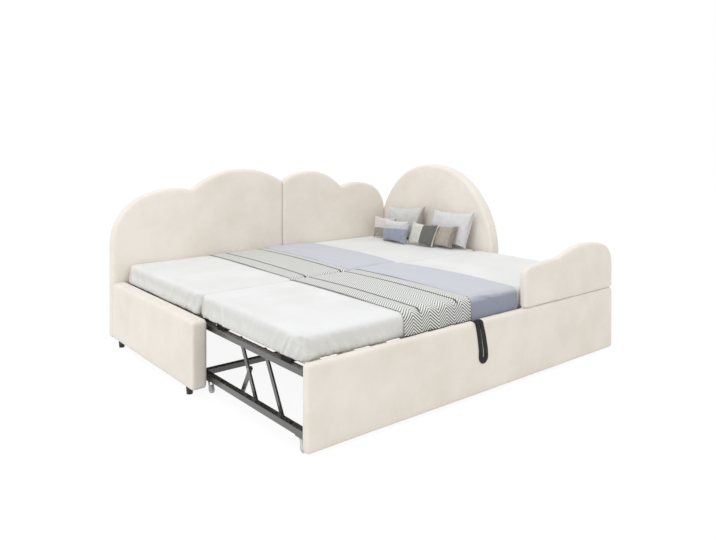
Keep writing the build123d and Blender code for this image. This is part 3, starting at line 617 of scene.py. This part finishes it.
def throw_rise(hang_from):
    """How a throw lifts off the mattress: slow rucks along its length, and folds where it hangs."""
    def rise(x, down):
        ruck = ruck_height * noise.noise(Vector((x / ruck_width, down / ruck_length, ruck_seed)))
        drape = max(0.0, down - hang_from)
        wander = noise.noise(Vector((x * wander_across, down * wander_down, wander_seed)))
        fold = drape_depth * drape * (1 + math.sin(x * drape_turns + drape_wander * wander))
        return max(0.0, throw_rest + ruck) + min(fold, drape_most)
    return rise


chevron_cotton = chevron_cloth()
for node, mattress, body, hangs in (
    ("daybed_throw", "daybed_mattress", "daybed", False),
    ("deck_throw", "deck_mattress", "deck", True),
):
    line, throw_length = evenly(across_mattress(mattress, throw_lift, hangs), throw_rows)
    hang_from = throw_length - (throw_hang if hangs else 0.0)
    throw = laid_cloth(
        "woven_" + node, line, throw_length, throw_edges(hangs), throw_rise(hang_from), throw_columns
    )
    apply_modifier(throw, "SOLIDIFY", thickness=throw_thick, offset=1.0, use_even_offset=True)
    dress(throw, body, chevron_cotton, node)


# Blankets. A blue brushed cotton blanket lies beside each throw. It is soft and light, painted paler
# where it lies level as painted sheen, and doubled back on its left two thirds. The trundle's folds
# over the front rim and hangs in a loose arch with two sharp creases.
blanket_blue = "#9296A6"
# The tone where the blanket lies level, a painted sheen.
blanket_sheen_pale = "#C0C2C8"
blanket_patches = 6.5
blanket_fuzz = 0.0014
blanket_left, blanket_left_daybed, blanket_right = -0.0430, -0.0760, 0.279
blanket_lift = 0.0024
blanket_thick = 0.0030
blanket_rows, blanket_columns = 210, 120

# Its edges: the daybed's right edge eases in at the front, and the trundle's right edge stands
# further right, slants in at the seam between the mattresses and eases in at the front.
daybed_ease, daybed_ease_from = 0.016, 0.75
deck_wider, seam_slant, seam_reach, deck_ease = 0.007, 0.026, 0.35, 0.010

# Its rucks, and the step at the edge of its doubled part: where that edge is at the back and how far
# it slants to the left, for the one that hangs and the other, and over which stretch the trundle's
# slants, measured from the front end.
blanket_rest = 0.0012
broad_ruck, broad_ruck_width, broad_ruck_length, broad_ruck_seed = 0.0022, 0.10, 0.22, 9.1
doubled_step = 0.0055
doubled_turn = 0.006
doubled_left_turn = 0.03
doubled_edges = {True: (0.236, 0.088), False: (0.186, 0.030)}
slant_from, slant_length = 0.60, 0.50

# The hanging part: where it starts, the arch that it leaves at the front panel, its two creases, and
# the most that it may stand out, so that it stays clear of the front panel when the deck sinks.
hang_start, hang_fade = 0.118, 0.030
arch_middle, arch_foot, arch_half_width, arch_height = -0.046, -0.0065, 0.205, 0.103
arch_swell = 0.0026
arch_edge = 0.10
ridge_height = 0.0030
crease_places = (0.182, 0.276)
crease_width = 0.0055
foot_spread, foot_reach = 0.010, 0.1
ruck_left = 0.5
hang_room = 0.0056


def brushed_cotton():
    """Brushed cotton: a plain weave raised to a short fuzz. Its tone drifts at random, and it is painted
    paler where it lies level, as painted sheen.

    The fuzz is drawn about three times too coarse, so that it shows."""
    material, tree, surface, place = new_material("blue_brushed_cotton")
    normal = add_node(tree, "SeparateXYZ", {0: add_node(tree, "NewGeometry").outputs["Normal"]})
    cloud = add_node(
        tree, "TexNoise", {"Vector": place, "Scale": blanket_patches, "Detail": 3.0, "Roughness": 0.6}
    )
    drift = add_node(tree, "Math", {0: cloud.outputs["Fac"], 1: 0.5}, operation="SUBTRACT").outputs[0]
    # Painted sheen: paler where the cloth lies level, with a random drift on top.
    lie = add_node(
        tree, "Math", {0: drift, 1: 0.35, 2: normal.outputs["Z"]}, operation="MULTIPLY_ADD"
    ).outputs[0]
    tone = drift_tone(tree, lie, 0.25, 0.75, linear(blanket_blue), linear(blanket_sheen_pale))
    fuzz = add_node(tree, "TexNoise", {"Vector": place, "Scale": 1 / blanket_fuzz})
    bump = add_node(tree, "Bump", {"Height": fuzz.outputs["Fac"], "Distance": 0.0003, "Strength": 0.7})
    feed(tree, surface, {
        "Base Color": tone, "Roughness": 0.9, "Specular IOR Level": 0.1, "Sheen Weight": 0.5,
        "Sheen Roughness": 0.45, "Sheen Tint": linear("#F6F7FF"), "Normal": bump.outputs["Normal"],
    })
    return material


def blanket_rise(length, hangs):
    """How a blanket lifts: broad rucks, its doubled part, and the arch and creases where it hangs."""
    def rise(x, down):
        ruck = broad_ruck * noise.noise(
            Vector((x / broad_ruck_width, down / broad_ruck_length, broad_ruck_seed))
        )
        front = length - down
        run = clip((slant_from - front) / slant_length) if hangs else down / length
        edge_back, edge_slant = doubled_edges[hangs]
        edge_x = edge_back - edge_slant * run
        doubled = doubled_step * min(
            1.0, max(0.0, (edge_x - x) / doubled_turn), max(0.0, (x - blanket_left) / doubled_left_turn)
        )
        lift = max(0.0, blanket_rest + ruck) + doubled
        if hangs:
            fade = clip((hang_start - front) / hang_fade)
            reach = math.hypot((x - arch_middle) / arch_half_width, (front - arch_foot) / arch_height)
            swell = arch_swell * clip((reach - 1.0) / arch_edge)
            crease = sum(
                ridge_height * math.exp(-((x - place) / crease_width) ** 2) for place in crease_places
            )
            spread = foot_spread * max(0.0, foot_reach - front)
            hanging = blanket_rest + swell + crease + spread + ruck * ruck_left
            lift = lift * (1 - fade) + fade * min(hanging, hang_room)
        return lift
    return rise


def blanket_edges(hangs):
    """A blanket's left and right edges. The trundle's slants at the seam and eases in at the front."""
    def edges(share):
        if not hangs:
            eased = daybed_ease * max(0.0, share - daybed_ease_from) / (1 - daybed_ease_from)
            return blanket_left_daybed, blanket_right - eased
        slanted = seam_slant * max(0.0, seam_reach - share) / seam_reach
        return blanket_left, blanket_right + deck_wider - slanted - deck_ease * share**3
    return edges


blanket_cotton = brushed_cotton()
for node, mattress, body, hangs in (
    ("daybed_blanket", "daybed_mattress", "daybed", False),
    ("deck_blanket", "deck_mattress", "deck", True),
):
    line, blanket_length = evenly(across_mattress(mattress, blanket_lift, hangs), blanket_rows)
    blanket = laid_cloth(
        "brushed_" + node, line, blanket_length, blanket_edges(hangs),
        blanket_rise(blanket_length, hangs), blanket_columns,
    )
    apply_modifier(blanket, "SOLIDIFY", thickness=blanket_thick, offset=1.0, use_even_offset=True)
    dress(blanket, body, blanket_cotton, node)


# Pillows. Two large ones stand against the headboard and five small ones in front of them. Each is
# two squares of cloth sewn round the edge and stuffed, so it is fat in the middle, thin at the seam
# and drawn in between its corners. A cloth simulation presses each cover out, and it slumps a little.

# A pillow's width, height and thickness in metres, and its turn and lean in degrees.
pillow_sizes = {
    "pillow_large_grey": (0.390, 0.236, 0.092, 0.0, 10.0),
    "pillow_large_white": (0.385, 0.236, 0.092, 0.0, 10.0),
    "pillow_banded": (0.235, 0.145, 0.046, 0.0, 12.0),
    "pillow_olive": (0.180, 0.150, 0.042, 14.0, 8.0),
    "pillow_blue": (0.258, 0.135, 0.054, -4.0, 14.0),
    "pillow_satin": (0.242, 0.150, 0.054, 6.0, 12.0),
    "pillow_taupe": (0.226, 0.145, 0.044, 4.0, 12.0),
}

# How far its corners slump, along and up: the top ones and then the lower ones, clockwise from the
# top left one, as one faces the headboard.
pillow_corners = {
    "pillow_large_grey": ((0.015, -0.026), (0.003, 0.006), (-0.035, 0.0), (0.0, 0.0)),
    "pillow_large_white": ((0.022, -0.002), (0.002, 0.004), (-0.042, 0.006), (0.0, 0.0)),
    "pillow_banded": ((0.006, -0.004), (0.004, 0.002), (-0.006, 0.0), (0.0, 0.0)),
    "pillow_olive": ((0.004, 0.0), (0.004, -0.004), (-0.004, 0.0), (0.0, 0.0)),
    "pillow_blue": ((-0.014, -0.018), (-0.012, 0.008), (-0.017, 0.0), (-0.014, 0.0)),
    "pillow_satin": ((0.028, 0.002), (0.013, 0.0), (-0.026, 0.0), (0.004, 0.0)),
    "pillow_taupe": ((0.008, 0.002), (0.013, 0.008), (-0.020, 0.004), (0.0, 0.0)),
}

# How its cover is sewn and stuffed. The edges are drawn in between the corners, the top and lower
# edges further than the sides, and the seam is a flat rim.
pillow_cell = 0.0046
edge_draw = 0.022
top_draw = 1.6 * edge_draw
seam_share = 0.965
seam_half = 0.0006
seam_weld = 0.0014
fill_power = 2.8
start_fill = 0.38
stuffing_pressure = 4.0
stuffing_frames = 10
largest_move = 0.025

# Its dents, and the creases that run in from its corners and fade near the seam. Each pillow's are
# its own, by the length of its name.
dent_depth = 0.0035
dent_width = 0.065
crease_depth = 0.0085
crease_reach = 0.065
crease_turns = 5.0
crease_wander, wander_scale = 1.5, 4
crease_seam = 0.020
crease_rise = 6
dent_seed, crease_seed = 3.7, 2.3
pillow_patches = 33.0


def sewn_case(name, width, height, thickness):
    """A half-stuffed cover, level about the origin: two layers joined in a flat seam all round."""
    columns = round(width / pillow_cell)
    rows = round(height / pillow_cell)
    seed = len(name) * dent_seed
    layers = []
    for side in (1, -1):
        bpy.ops.object.select_all(action="DESELECT")
        bpy.ops.mesh.primitive_grid_add(x_subdivisions=columns, y_subdivisions=rows, size=2.0)
        layer = bpy.context.object
        sewn = layer.data.uv_layers.active
        for point in layer.data.vertices:
            u, v = point.co.x, point.co.y
            inner_u, inner_v = min(1.0, abs(u) / seam_share), min(1.0, abs(v) / seam_share)
            fill = ((1 - inner_u**fill_power) * (1 - inner_v**fill_power)) ** 0.5
            x = u * width / 2 * (1 - edge_draw * (1 - v * v))
            y = v * height / 2 * (1 - top_draw * (1 - u * u))
            dent = dent_depth * noise.noise(Vector((x / dent_width, y / dent_width, seed + side))) * fill
            point.co = (x, y, side * (fill * thickness * start_fill + seam_half + dent))
        sewn.name = "flat"
        if side < 0:
            layer.data.flip_normals()
        layers.append(layer)
    bpy.ops.object.select_all(action="DESELECT")
    for layer in layers:
        layer.select_set(True)
    bpy.context.view_layer.objects.active = layers[0]
    bpy.ops.object.join()
    case = bpy.context.object
    case.name = name
    bpy.ops.object.mode_set(mode="EDIT")
    bpy.ops.mesh.select_all(action="SELECT")
    bpy.ops.mesh.remove_doubles(threshold=seam_weld)
    bpy.ops.object.mode_set(mode="OBJECT")
    return case


def stuff(case):
    """Press a cover out with its stuffing, as cloth, and keep each point near its start."""
    starts = [point.co.copy() for point in case.data.vertices]
    cloth = case.modifiers.new("cloth", "CLOTH")
    weave = cloth.settings
    weave.quality = 6
    weave.mass = 0.2
    weave.tension_stiffness = 15.0
    weave.compression_stiffness = 15.0
    weave.shear_stiffness = 5.0
    weave.bending_stiffness = 0.2
    weave.use_pressure = True
    weave.uniform_pressure_force = stuffing_pressure
    weave.effector_weights.gravity = 0.0
    cloth.point_cache.frame_start = 1
    cloth.point_cache.frame_end = stuffing_frames
    for number in range(1, stuffing_frames + 1):
        scene.frame_set(number)
    select_only(case)
    bpy.ops.object.modifier_apply(modifier="cloth")
    scene.frame_set(1)
    for point, start in zip(case.data.vertices, starts):
        move = point.co - start
        if move.length > largest_move:
            point.co = start + move * (largest_move / move.length)


def stand_pillow(case, node, width, height, thickness, turn, lean):
    """Bring a stuffed case to its size, crease and slump it, and stand it where its solid is."""
    points = case.data.vertices
    lows = [min(p.co[axis] for p in points) for axis in range(3)]
    spans = [max(p.co[axis] for p in points) - low for axis, low in enumerate(lows)]
    seed = len(node) * crease_seed
    for point in points:
        x, y, z = [(c - low) / span - 0.5 for c, low, span in zip(point.co, lows, spans)]
        weights = (
            (0.5 - x) * (0.5 + y), (0.5 + x) * (0.5 + y), (0.5 + x) * (0.5 - y), (0.5 - x) * (0.5 - y)
        )
        along, up = [
            sum(w * corner[axis] for w, corner in zip(weights, pillow_corners[node])) for axis in (0, 1)
        ]
        gap_x, gap_y = (0.5 - abs(x)) * width, (0.5 - abs(y)) * height
        gap = math.hypot(gap_x, gap_y)
        wander = noise.noise(Vector((x * wander_scale, y * wander_scale, seed)))
        ray = math.atan2(gap_y, gap_x) * crease_turns + seed + crease_wander * wander
        valley = (1 - abs(math.sin(ray))) ** 2
        near = math.exp(-(gap / crease_reach) ** 2)
        crease = -crease_depth * valley * near * min(1.0, gap / crease_seam)
        side = 1.0 if z > 0 else -1.0
        depth = z * thickness + side * crease * min(1.0, abs(z) * crease_rise)
        point.co = (x * width + along, y * height + up, depth)
    turn, lean = math.radians(turn), math.radians(lean)
    facing = Vector((-math.cos(turn) * math.cos(lean), -math.sin(turn) * math.cos(lean), math.sin(lean)))
    across = Vector((math.sin(turn), -math.cos(turn), 0))
    upward = facing.cross(across)
    low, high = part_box(node)
    stand = Matrix((across, upward, facing)).transposed().to_4x4()
    stand.translation = (low + high) / 2
    case.data.transform(stand)


def pillow_cloth(name, colour, shade, bands, weave=0.0016, roughness=0.9, sheen=0.25):
    """A woven pillow cover with bands sewn on, and bands of painted shade at some edges: matt linen, or
    satin that is smoother and shines.

    Its threads are drawn about three times too coarse, so that they show. A band is (axis, start,
    end, colour), in shares of the cover's width or height."""
    material, tree, surface, place = new_material(name)
    cloud = add_node(
        tree, "TexNoise", {"Vector": place, "Scale": pillow_patches, "Detail": 3.0, "Roughness": 0.6}
    )
    tone = drift_tone(tree, cloud.outputs["Fac"], 0.35, 0.65, linear(shade), linear(colour))
    axes = add_node(tree, "SeparateXYZ", {0: add_node(tree, "UVMap", uv_map="flat").outputs["UV"]})
    for axis, start, end, band in bands:
        inside = add_node(
            tree, "Math", {0: axes.outputs[axis], 1: (start + end) / 2, 2: (end - start) / 2},
            operation="COMPARE",
        ).outputs[0]
        tone = add_node(
            tree, "Mix", {"Factor": inside, "A": tone, "B": linear(band)}, data_type="RGBA"
        ).outputs["Result"]
    thread = add_node(tree, "TexNoise", {"Vector": place, "Scale": 1 / weave})
    bump = add_node(tree, "Bump", {"Height": thread.outputs["Fac"], "Distance": 0.0004, "Strength": 0.6})
    feed(tree, surface, {
        "Base Color": tone, "Roughness": roughness, "Specular IOR Level": 0.2, "Sheen Weight": sheen,
        "Normal": bump.outputs["Normal"],
    })
    return material


stripe = "#DAD9D6"
# The large grey pillow's darker band down its right edge is partly its own warm edge and partly painted
# shade.
grey_bands_and_shade = (("X", 0.0, 0.13, "#D4D3D0"), ("X", 0.93, 1.0, "#C0BBB7"))
white_bands = (("X", 0.0, 0.10, "#CFC8C4"),)
stripe_bands = (("Y", 0.14, 0.27, stripe), ("Y", 0.40, 0.53, stripe), ("Y", 0.68, 1.0, stripe))
olive_bands = (("Y", 0.47, 1.0, "#D6CECB"),)
blue_bands = (("Y", 0.70, 1.0, "#BFBFC1"), ("X", 0.0, 0.07, "#C9C2B8"))
satin_bands = (("X", 0.50, 0.965, "#696865"), ("X", 0.965, 1.0, "#D9D7CB"))
# Painted shade: the taupe pillow's dark band down its right edge.
taupe_shade_band = (("X", 0.86, 1.0, "#8E857C"),)
cream_satin = pillow_cloth(
    "cream_satin", "#D3D1C8", "#C8C6BD", satin_bands, weave=0.004, roughness=0.36, sheen=0.1
)
pillow_covers = {
    "pillow_large_grey": ("pillow_grey", pillow_cloth("grey_linen", "#D1D1CE", "#C7C7C4", grey_bands_and_shade)),
    "pillow_large_white": (
        "pillow_white", pillow_cloth("white_linen", "#D9D8D7", "#D0CFCE", white_bands)
    ),
    "pillow_banded": ("pillow_banded", pillow_cloth("banded_linen", "#B4B4B1", "#A6A6A3", stripe_bands)),
    "pillow_olive": ("pillow_olive", pillow_cloth("olive_linen", "#9E9C91", "#8E8C82", olive_bands)),
    "pillow_blue": ("pillow_blue", pillow_cloth("blue_linen", "#989DAC", "#8C91A0", blue_bands)),
    "pillow_satin": ("pillow_satin", cream_satin),
    "pillow_taupe": ("pillow_taupe", pillow_cloth("taupe_linen", "#AFA69C", "#A2998F", taupe_shade_band)),
}
pillow_cases = {node: sewn_case("stuffed_" + node, *size[:3]) for node, size in pillow_sizes.items()}
for node, case in pillow_cases.items():
    stuff(case)
    stand_pillow(case, node, *pillow_sizes[node])
    apply_modifier(case, "SUBSURF", levels=1, render_levels=1)
    slot_name, cover = pillow_covers[node]
    dress(case, "daybed", cover, node)


# Slats of the daybed and the deck. They are sawn from birch plywood with the grain along them, sanded
# and lacquered. The daybed's lie on its rails, and the deck's sit in plastic blocks.
slat_pale = "#E6DCCD"
slat_dark = "#D8CBB8"
grain_width = 0.0035
grain_stretch = 0.06
hard_edge = math.radians(35)


def finish_nodes(names, material):
    """Give solids that keep their own shape their finish."""
    for name in names:
        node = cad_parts[name]
        node.data.materials.clear()
        node.data.materials.append(material)
        select_only(node)
        bpy.ops.object.shade_smooth_by_angle(angle=hard_edge)


def birch():
    """Birch plywood: pale, with fine grain that runs the slat's length and a satin lacquer."""
    material, tree, surface, place = new_material("birch_plywood")
    drawn = add_node(tree, "Mapping", {"Vector": place, "Scale": (1.0, grain_stretch, 1.0)})
    grain = add_node(tree, "TexNoise", {
        "Vector": drawn.outputs["Vector"], "Scale": 1 / grain_width, "Detail": 4.0, "Roughness": 0.6,
    })
    tone = drift_tone(tree, grain.outputs["Fac"], 0.35, 0.65, linear(slat_dark), linear(slat_pale))
    bump = add_node(tree, "Bump", {"Height": grain.outputs["Fac"], "Distance": 0.0002, "Strength": 0.4})
    feed(tree, surface, {"Base Color": tone, "Roughness": 0.5, "Normal": bump.outputs["Normal"]})
    return material


finish_nodes(("daybed_slats", "deck_slats"), birch())

# Steel frame: square tubes, channels, plates and flat arms, cut, welded and powder coated black. The
# coat is smooth and half glossy, with a fine orange-peel ripple.
powder_black = "#2B2A29"
powder_shade = "#252423"
powder_patch = 0.05
powder_ripple = 0.0022


def powder_coat():
    """Black powder coat on steel: a dark skin, half glossy, whose ripple breaks up the reflections."""
    material, tree, surface, place = new_material("black_powder_coat")
    cloud = add_node(tree, "TexNoise", {"Vector": place, "Scale": 1 / powder_patch, "Detail": 3.0})
    tone = drift_tone(tree, cloud.outputs["Fac"], 0.35, 0.65, linear(powder_shade), linear(powder_black))
    ripple = add_node(tree, "TexNoise", {"Vector": place, "Scale": 1 / powder_ripple})
    bump = add_node(
        tree, "Bump", {"Height": ripple.outputs["Fac"], "Distance": 0.00008, "Strength": 0.5}
    )
    feed(tree, surface, {
        "Base Color": tone, "Roughness": 0.32, "IOR": 1.65, "Coat Weight": 1.0,
        "Coat Roughness": 0.2, "Normal": bump.outputs["Normal"],
    })
    return material


steel_nodes = (
    "daybed_front_rail", "daybed_rear_rail", "frame_brackets", "frame_bolts", "guard_plates",
    "base_rail_left", "base_rail_right", "base_rail_front", "base_rail_rear", "base_brackets",
    "long_arm_left", "long_arm_right", "short_arm_left", "short_arm_right", "guide_arm_left",
    "guide_arm_right", "deck_rail_left", "deck_rail_right", "deck_end_rails", "deck_bearers",
)
finish_nodes(steel_nodes, powder_coat())

# Pins of the lift, turned from steel with a collar and a head and fixed fast at one end, and the
# plate that holds the pull strap down. Both are zinc plated.
zinc_grey = "#B4B5B6"
turning_mark = 0.0012


def zinc_plate():
    """Bright zinc on steel, whose marks from the tool are drawn coarse enough to break up its gloss."""
    material, tree, surface, place = new_material("zinc_plated_steel")
    marks = add_node(
        tree, "TexNoise", {"Vector": place, "Scale": 1 / turning_mark, "Detail": 2.0}
    ).outputs["Fac"]
    gloss = add_node(tree, "MapRange", {"Value": marks, "To Min": 0.22, "To Max": 0.42})
    bump = add_node(tree, "Bump", {"Height": marks, "Distance": 0.00005, "Strength": 0.4})
    feed(tree, surface, {
        "Base Color": linear(zinc_grey), "Metallic": 1.0, "Roughness": gloss.outputs["Result"],
        "Normal": bump.outputs["Normal"],
    })
    return material


finish_nodes(("base_pivot_pins", "deck_pivot_pins", "knee_pins", "strap_plate"), zinc_plate())

# Feet and slat blocks, moulded in black polypropylene, the black rubber bumpers on the base rails, and
# the lift's rollers, moulded in white nylon. All have the fine grain of spark-eroded moulds.
plastic_black = "#232323"
rubber_black = "#1E1E1E"
nylon_white = "#E2E1DC"
mould_grain = 0.0012


def moulded_plastic(name, colour, roughness):
    """Moulded plastic or rubber. Its grain, drawn coarser than it is, softens the highlights."""
    material, tree, surface, place = new_material(name)
    spark = add_node(tree, "TexNoise", {"Vector": place, "Scale": 1 / mould_grain})
    bump = add_node(tree, "Bump", {"Height": spark.outputs["Fac"], "Distance": 0.00008, "Strength": 0.5})
    feed(tree, surface, {
        "Base Color": linear(colour), "Roughness": roughness, "Normal": bump.outputs["Normal"],
    })
    return material


finish_nodes(("panel_feet", "slat_blocks"), moulded_plastic("black_polypropylene", plastic_black, 0.45))
finish_nodes(("deck_bumpers",), moulded_plastic("black_rubber", rubber_black, 0.8))
finish_nodes(("lift_rollers", "guide_rollers"), moulded_plastic("white_nylon", nylon_white, 0.4))

# Casters. Each has a fork moulded in pale grey nylon, which swivels under the base, and a wheel of
# clear plastic. Both look almost white.
caster_names = [f"{place}_{side}" for place in ("rear", "front") for side in ("left", "right")]
fork_grey = "#D2D2D0"
wheel_grey = "#DADBDB"
flow_mark = 0.01


def clear_plastic():
    """Clear polycarbonate that has gone milky: pale, glossy and a little see-through."""
    material, tree, surface, place = new_material("milky_polycarbonate")
    flow = add_node(tree, "TexNoise", {"Vector": place, "Scale": 1 / flow_mark})
    bump = add_node(tree, "Bump", {"Height": flow.outputs["Fac"], "Distance": 0.0001, "Strength": 0.3})
    feed(tree, surface, {
        "Base Color": linear(wheel_grey), "Roughness": 0.18, "Transmission Weight": 0.35, "IOR": 1.58,
        "Normal": bump.outputs["Normal"],
    })
    return material


finish_nodes([f"caster_wheel_{name}" for name in caster_names], clear_plastic())
finish_nodes(
    [f"caster_fork_{name}" for name in caster_names], moulded_plastic("pale_grey_nylon", fork_grey, 0.3)
)

# Pull strap: black polyester webbing, screwed down on the front panel's top edge. It hangs in front
# as a narrow loop for the fingers, whose two strands are soft, round and lie close together.
webbing_black = "#1D1B1A"
webbing_shade = "#121110"
webbing_rib = 0.0018
strap_voxel = 0.0012
strap_ease, strap_last_ease = 4, 3
strap_low, strap_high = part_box("pull_strap")

# The solid's loop: its top and the start of its round end, half its width, half its slot, and how far
# it leans over between the two.
loop_top = 0.309
loop_bottom = 0.1745
solid_half_width = 0.0235
solid_slot = 0.0065
solid_lean = 0.026

# The loop as it hangs: its middle at some heights, and its half width and slot at the foot, with how
# much less they are at the top.
loop_heights = (0.151, 0.21, 0.28, 0.35)
loop_middles = (-0.0165, -0.0185, -0.031, -0.0495)
loop_half, loop_half_less = 0.0305, 0.0045
loop_slot, loop_slot_less = 0.0030, 0.0020
bottom_rise = 0.0055
strand_swell = 0.0045
groove_depth, groove_width = 0.0015, 0.003
webbing_sink = 0.0006
bend_depth = 0.012
top_swell = 0.4


def webbing():
    """Polyester webbing: ribs along a dark band with a satin shine, drawn wide enough to show."""
    material, tree, surface, place = new_material("black_webbing")
    rib = add_node(
        tree, "TexWave",
        {"Vector": place, "Scale": 1 / webbing_rib / bands_per_width, "Distortion": 0.3},
        bands_direction="X",
    ).outputs["Fac"]
    tone = drift_tone(tree, rib, 0.2, 0.8, linear(webbing_shade), linear(webbing_black))
    bump = add_node(tree, "Bump", {"Height": rib, "Distance": 0.0003, "Strength": 0.7})
    feed(tree, surface, {
        "Base Color": tone, "Roughness": 0.45, "Specular IOR Level": 0.25,
        "Normal": bump.outputs["Normal"],
    })
    return material


def between(value, places, results):
    """Read a value off a line through some places and their results."""
    for at in range(1, len(places)):
        if value <= places[at] or at == len(places) - 1:
            share = clip((value - places[at - 1]) / (places[at] - places[at - 1]))
            return results[at - 1] + share * (results[at] - results[at - 1])


def ease_strap(strap):
    """Draw the loop's strands together, fan the loop out downwards and round the strands."""
    for point in strap.data.vertices:
        place, normal = point.co.copy(), point.normal.copy()
        share = clip((loop_top - place.z) / (loop_top - loop_bottom))
        solid_middle = strap_low.x + solid_half_width + solid_lean * share
        middle = between(place.z, loop_heights, loop_middles)
        half = loop_half - loop_half_less * (1 - share)
        slot = loop_slot - loop_slot_less * (1 - share)
        below = max(0.0, loop_bottom - place.z)
        sideways = place.x - solid_middle
        reach = math.hypot(sideways, below)
        new_reach = between(reach, (0.0, solid_slot, solid_half_width), (0.0, slot, half))
        grow = new_reach / reach if reach > 1e-6 else 0.0
        place.x = middle + sideways * grow
        place.z = (loop_bottom - below * grow if below else place.z) + bottom_rise * share
        away = abs(new_reach - (slot + half) / 2) / ((half - slot) / 2)
        swell = strand_swell * (1 - min(1.0, away) ** 2)
        groove = groove_depth * math.exp(-((sideways * grow) / groove_width) ** 2)
        hangs = place.z < strap_high.z - bend_depth
        front = max(0.0, -normal.y) if hangs else max(0.0, normal.z) * top_swell
        point.co = place + normal * (swell - groove - webbing_sink) * front
    strap.data.update()


strap = copy_of("pull_strap", "webbing_pull_strap")
apply_modifier(strap, "REMESH", mode="VOXEL", voxel_size=strap_voxel)
apply_modifier(strap, "SMOOTH", factor=0.5, iterations=strap_ease)
ease_strap(strap)
apply_modifier(strap, "SMOOTH", factor=0.5, iterations=strap_last_ease)
dress(strap, "trundle_base", webbing(), "pull_strap")
